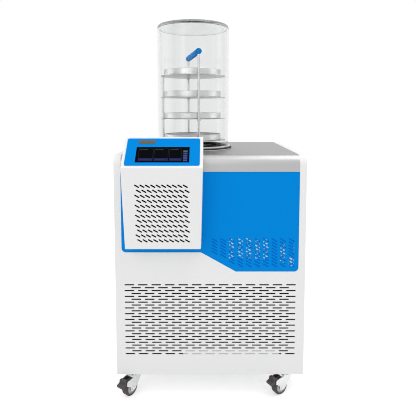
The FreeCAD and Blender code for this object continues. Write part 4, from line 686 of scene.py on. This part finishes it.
class DRYER_OT_rack_parts(bpy.types.Operator):
    """Collars that carry the shelves, and rolled rims of the trays"""
    bl_idname = "dryer.rack_parts"
    bl_label = "Rack and tray parts"

    def execute(self, context):
        x, y, _ = heart("rack_shelves")
        foot = box("rack_shelves")[0].z
        # three rods on one circle: two in line with the handle, one at the side
        circle, turn, shelf_step = 107.5, math.radians(101.5), 74.5
        across, along = circle * math.cos(turn), circle * math.sin(turn)
        spots = {"rear": (x + across, y + along), "front": (x - across, y - along),
                 "side": (x - circle, y)}
        bore, outside = 4.05, 6.2
        for name, (u, v) in spots.items():
            ring((u, v, 0), bore, outside, foot - 4.5, foot - 0.1, 0.6, sides=32)
            repeat(4, (0, 0, shelf_step))
            settle(f"shelf_collars_{name}", "rod", "satin_rod")
        rim, wire = 99.3, 0.95
        for i in range(1, 5):
            u, v, _ = heart(f"tray_{i}")
            edge = box(f"tray_{i}")[1].z
            start()
            bpy.ops.mesh.primitive_torus_add(
                major_radius=rim * MM, minor_radius=wire * MM, major_segments=96,
                minor_segments=10, location=Vector((u, v, edge - 0.4)) * MM)
            bpy.ops.object.mode_set(mode="EDIT")
            bpy.ops.mesh.select_all(action="SELECT")
            bpy.ops.transform.resize(value=(1, 1, 1.25))
            settle(f"tray_rim_{i}", "satin", "satin_sheet")
        return {"FINISHED"}


class DRYER_OT_caster_parts(bpy.types.Operator):
    """Race covers, hub covers, axle nuts and pedal ribs of the casters"""
    bl_idname = "dryer.caster_parts"
    bl_label = "Caster parts"

    def execute(self, context):
        places = {corner: self.place(corner) for corner in CORNERS}
        first = places["front_left"]
        # the trail and the radius of a wheel
        axle = (24, 0, 25)
        made = []

        def keep(name, finish, slot, body, smooth=35):
            own = "root" if body == "root" else f"{body}_front_left"
            piece = settle(f"{name}_front_left", finish, slot, own, turn=first, smooth=smooth)
            made.append((piece, name, body))

        # dust ring over the balls
        ring((0, 0, 0), 14, 17.2, 58.6, 61.4, 0.7, sides=64)
        keep("race_cover", "zinc", "zinc_plate", "root")
        for side, sign in (("near", -1), ("far", 1)):
            # bright cover pressed into the hub
            ring(axle, 8.5, 15.5, *sorted((sign * 8.2, sign * 9.6)), 0.5, sides=64, axis="Y")
            keep(f"hub_cover_{side}", "hub_bright", "hub_plastic", "wheel")
            # domed six-sided nut outside the fork
            inner, outer = sign * 14.6, sign * 17.6
            rod(axle, 5, *sorted((inner, outer)), sides=6, axis="Y")
            pick("faces", ends("Y", (outer,)))
            bpy.ops.mesh.inset(thickness=1.1 * MM, depth=0.7 * MM)
            soften(0.25)
            keep(f"axle_nut_{side}", "zinc", "zinc_plate", "caster", smooth=25)
        # ribs across the brake pad
        block((45, -9.6, 56.6), (46.6, 9.6, 58.2))
        soften(0.5)
        repeat(5, (3.1, 0, -0.3))
        keep("pedal_ribs", "pedal", "pedal_plastic", "pedal")
        for piece, name, body in made:
            for corner in CORNERS[1:]:
                copied(piece, f"{name}_{corner}", places[corner] @ first.inverted(),
                       body if body == "root" else f"{body}_{corner}")
        return {"FINISHED"}

    def place(self, corner):
        """Floor under a caster's pivot: x along its trail, y along its axle."""
        pivot, hub = [(low + high) / 2 for low, high in
                      (box(f"caster_plate_{corner}"), box(f"caster_hub_{corner}"))]
        trail = Vector((hub.x - pivot.x, hub.y - pivot.y, 0)).normalized()
        upright = Vector((0, 0, 1))
        place = Matrix((trail, upright.cross(trail), upright)).transposed().to_4x4()
        place.translation = Vector((pivot.x, pivot.y, 0)) * MM
        return place


class DRYER_OT_rear_parts(bpy.types.Operator):
    """Louvre hoods, port cone, grommets, hose barbs, lever sleeve, marks and blank plate"""
    bl_idname = "dryer.rear_parts"
    bl_label = "Rear parts"

    def execute(self, context):
        back = box("rear_panel")[1].y
        self.louvres(back)
        self.port_and_drain(back)
        self.lever()
        self.switch()
        self.plate(back)
        return {"FINISHED"}

    def louvres(self, back):
        """A pressed hood over each slot: a wedge that leans out and down over it."""
        rows, row_step, columns, column_step = 9, 13, 4, 92
        depth, lean, top = 3.4, 3, 137.4
        block((-234, back, 130.6), (-162, back + depth, top))
        pick("edges", lambda edge: middle(edge).y > back + 3 and middle(edge).z > 137)
        bpy.ops.transform.translate(value=(0, -lean * MM, 0))
        soften(0.9)
        repeat(rows, (0, 0, row_step))
        repeat(columns, (column_step, 0, 0))
        settle("louvre_hoods", "cabinet", "white_paint")

    def port_and_drain(self, back):
        """Cone of the port, a rubber grommet for each where it leaves, and the drain's barbs."""
        port_x, _, port_z = heart("vacuum_port")
        drain_x, drain_z = heart("drain_valve")[0], box("drain_valve")[0].z + 12
        # the port's flange thickens into its tube
        near, far, narrowing = 319.5, 323.4, 0.8
        ring((port_x, 0, port_z), 14.05, 19.2, near, far, axis="Y", sides=64)
        pick("faces", ends("Y", (near,)))
        bpy.ops.transform.resize(value=(narrowing, 1, narrowing))
        settle("port_cone", "satin", "brushed_stainless")
        for name, x, z, inside in (("port", port_x, port_z, 14.6),
                                   ("drain", drain_x, drain_z, 12.3)):
            ring((x, 0, z), inside, inside + 8, back + 0.05, back + 1.8, 0.5, axis="Y", sides=64)
            settle(f"{name}_grommet", "gasket", "black_rubber")
        # three barbs on the drain's hose tail, narrower towards its end
        near, far, narrowing, barbs, barb_step = 314.5, 317, 0.9, 3, 3.9
        ring((drain_x, 0, drain_z), 6.95, 7.9, near, far, axis="Y", sides=48)
        pick("faces", ends("Y", (far,)))
        bpy.ops.transform.resize(value=(narrowing, 1, narrowing))
        repeat(barbs, (0, barb_step, 0))
        settle("drain_barbs", "nickel", "nickel_brass")

    def lever(self):
        """Dipped sleeve on the end of the drain's lever."""
        tip, y, z = box("drain_valve_lever")[1].x, 297.5, heart("drain_valve_lever")[2]
        block((tip - 24, y - 5.2, z - 1.9), (tip + 0.6, y + 5.2, z + 1.9))
        soften(1.5, segments=3)
        settle("lever_sleeve", "lever", "lever_paint", "drain_lever")

    def switch(self):
        """Marks of the switch: a bar for on and a ring for off."""
        x, _, z = heart("power_rocker")
        face = box("power_rocker")[1].y
        block((x - 0.5, face - 0.35, z + 2), (x + 0.5, face + 0.1, z + 5.5))
        soften(0.12)
        settle("switch_on_mark", "white_mark", "black_plastic", "power_rocker")
        ring((x, 0, z - 4), 1.3, 2.1, face - 2.2, face - 0.9, 0.1, axis="Y", sides=32)
        settle("switch_off_mark", "white_mark", "black_plastic", "power_rocker")

    def plate(self, back):
        """Blank plate where a maker's data would be."""
        thick, corner_round = 0.8, 4
        block((-230, back, 640), (-140, back + thick, 700))
        # only the four short edges through the plate are rounded
        soften(corner_round,
               lambda edge: abs((edge.verts[0].co - edge.verts[1].co).y) > 0.5 * MM, 4)
        pick("faces", ends("Y", (back + thick,)))
        bpy.ops.mesh.inset(thickness=2.5 * MM, depth=-0.3 * MM)
        settle("blank_plate", "badge", "badge_metal")


# ---------------------------------------------------------------- stage

class DRYER_OT_stage(bpy.types.Operator):
    """Floor, soft light and camera"""
    bl_idname = "dryer.stage"
    bl_label = "Stage"

    def execute(self, context):
        settings = context.scene.dryer_stage
        self.floor()
        self.world(settings.ambient)
        self.lamps()
        self.camera(settings)
        context.scene.view_settings.view_transform = "Standard"
        # a narrow sampling filter keeps the thin slots crisp
        context.scene.cycles.filter_width = 1.0
        # light runs inside the clear lid by many reflections before it leaves at the rim
        context.scene.cycles.max_bounces = 24
        context.scene.cycles.glossy_bounces = 16
        context.scene.cycles.transmission_bounces = 24
        return {"FINISHED"}

    def floor(self):
        """A pale floor that keeps the contact shadow."""
        wide, near_lift, far_lift = 60, 0.44, 0.3
        bpy.ops.object.select_all(action="DESELECT")
        bpy.ops.mesh.primitive_plane_add(size=wide, location=(0, 0, 0))
        floor = bpy.context.object
        floor.name = "floor"
        material, shader = surface("pale_floor", srgb("E4E4E4"), roughness=0.9,
                                   Specular_IOR_Level=0.0)
        # what the light leaves short of white is added for the eye alone, so shadows stay;
        # mirrors and clear parts show the far floor, which the lamps don't reach
        path = add_node(material, "ShaderNodeLightPath")
        passed = add_node(material, "ShaderNodeMath", {0: path.outputs["Is Glossy Ray"],
                                                       1: path.outputs["Is Transmission Ray"]},
                          operation="MAXIMUM")
        far = add_node(material, "ShaderNodeMath", {0: passed.outputs[0], 1: far_lift},
                       operation="MULTIPLY")
        glow = add_node(material, "ShaderNodeMath",
                        {0: path.outputs["Is Camera Ray"], 1: near_lift, 2: far.outputs[0]},
                        operation="MULTIPLY_ADD")
        lift = add_node(material, "ShaderNodeEmission", {"Strength": glow.outputs[0]})
        both = add_node(material, "ShaderNodeAddShader", {0: shader.outputs["BSDF"],
                                                          1: lift.outputs["Emission"]})
        output = material.node_tree.nodes["Material Output"]
        material.node_tree.links.new(both.outputs[0], output.inputs["Surface"])
        floor.data.materials.append(material)

    def world(self, ambient):
        """White to the camera and to what mirrors or passes it, softer as light."""
        world = bpy.data.worlds.new("studio")
        world.use_nodes = True
        bpy.context.scene.world = world
        back = world.node_tree.nodes["Background"]
        back.inputs["Color"].default_value = (1, 1, 1, 1)
        path = add_node(world, "ShaderNodeLightPath")
        direct = add_node(world, "ShaderNodeMath", {0: path.outputs["Is Camera Ray"],
                                                    1: path.outputs["Is Transmission Ray"]},
                          operation="MAXIMUM")
        seen = add_node(world, "ShaderNodeMath", {0: direct.outputs[0],
                                                  1: path.outputs["Is Glossy Ray"]},
                        operation="MAXIMUM")
        strength = add_node(world, "ShaderNodeMapRange",
                            {"Value": seen.outputs[0], "To Min": ambient, "To Max": 1.0})
        world.node_tree.links.new(strength.outputs["Result"], back.inputs["Strength"])

    def lamps(self):
        """Large soft boxes: a key in front, one overhead and a strip each side."""
        # name, place, aim, width, height, watts
        boxes = (
            ("key", (-1.4, -3.2, 2.4), (0, 0, 0.6), 3.0, 3.0, 27),
            ("overhead", (0.85, -0.3, 3.2), (0.2, -0.25, 0.7), 2.6, 0.9, 20),
            ("left_strip", (-2.4, 0.3, 1.2), (0, 0, 0.8), 1.4, 2.4, 6),
            ("right_strip", (2.4, 0.1, 1.2), (0, 0, 0.8), 1.4, 2.4, 6),
        )
        for name, place, aim, wide, high, watts in boxes:
            bpy.ops.object.light_add(type="AREA", location=place)
            lamp = bpy.context.object
            lamp.name = name
            lamp.data.shape = "RECTANGLE"
            lamp.data.size, lamp.data.size_y = wide, high
            lamp.data.energy = watts
            lamp.rotation_euler = (Vector(aim) - Vector(place)).to_track_quat("-Z", "Y").to_euler()

    def camera(self, settings):
        """The eye, a little above the top of the cabinet."""
        bpy.ops.object.camera_add(location=settings.eye,
                                  rotation=(math.pi / 2 - settings.tilt, 0, 0))
        camera = bpy.context.object
        camera.data.lens = settings.lens
        camera.data.sensor_width = 36
        camera.data.shift_y = settings.shift
        bpy.context.scene.camera = camera


class DRYER_PT_looks(bpy.types.Panel):
    """The looks of the freeze dryer"""
    bl_idname = "DRYER_PT_looks"
    bl_label = "Freeze dryer"
    bl_space_type = "VIEW_3D"
    bl_region_type = "UI"
    bl_category = "Freeze dryer"

    def draw(self, context):
        for group in (context.scene.dryer_colours, context.scene.dryer_stage):
            for name in group.__annotations__:
                self.layout.prop(group, name)
        for step in STEPS:
            self.layout.operator(step.bl_idname)


STEPS = (DRYER_OT_finishes, DRYER_OT_display, DRYER_OT_filters, DRYER_OT_chamber_parts,
         DRYER_OT_rack_parts, DRYER_OT_caster_parts, DRYER_OT_rear_parts, DRYER_OT_stage)
CLASSES = (DryerColours, DryerStage) + STEPS + (DRYER_PT_looks,)


def register():
    for cls in CLASSES:
        bpy.utils.register_class(cls)
    bpy.types.Scene.dryer_colours = bpy.props.PointerProperty(type=DryerColours)
    bpy.types.Scene.dryer_stage = bpy.props.PointerProperty(type=DryerStage)


def unregister():
    del bpy.types.Scene.dryer_stage
    del bpy.types.Scene.dryer_colours
    for cls in reversed(CLASSES):
        bpy.utils.unregister_class(cls)


def main():
    """Make everything, in order."""
    register()
    for step in STEPS:
        group, name = step.bl_idname.split(".")
        getattr(getattr(bpy.ops, group), name)()


if __name__ == "__main__":
    main()
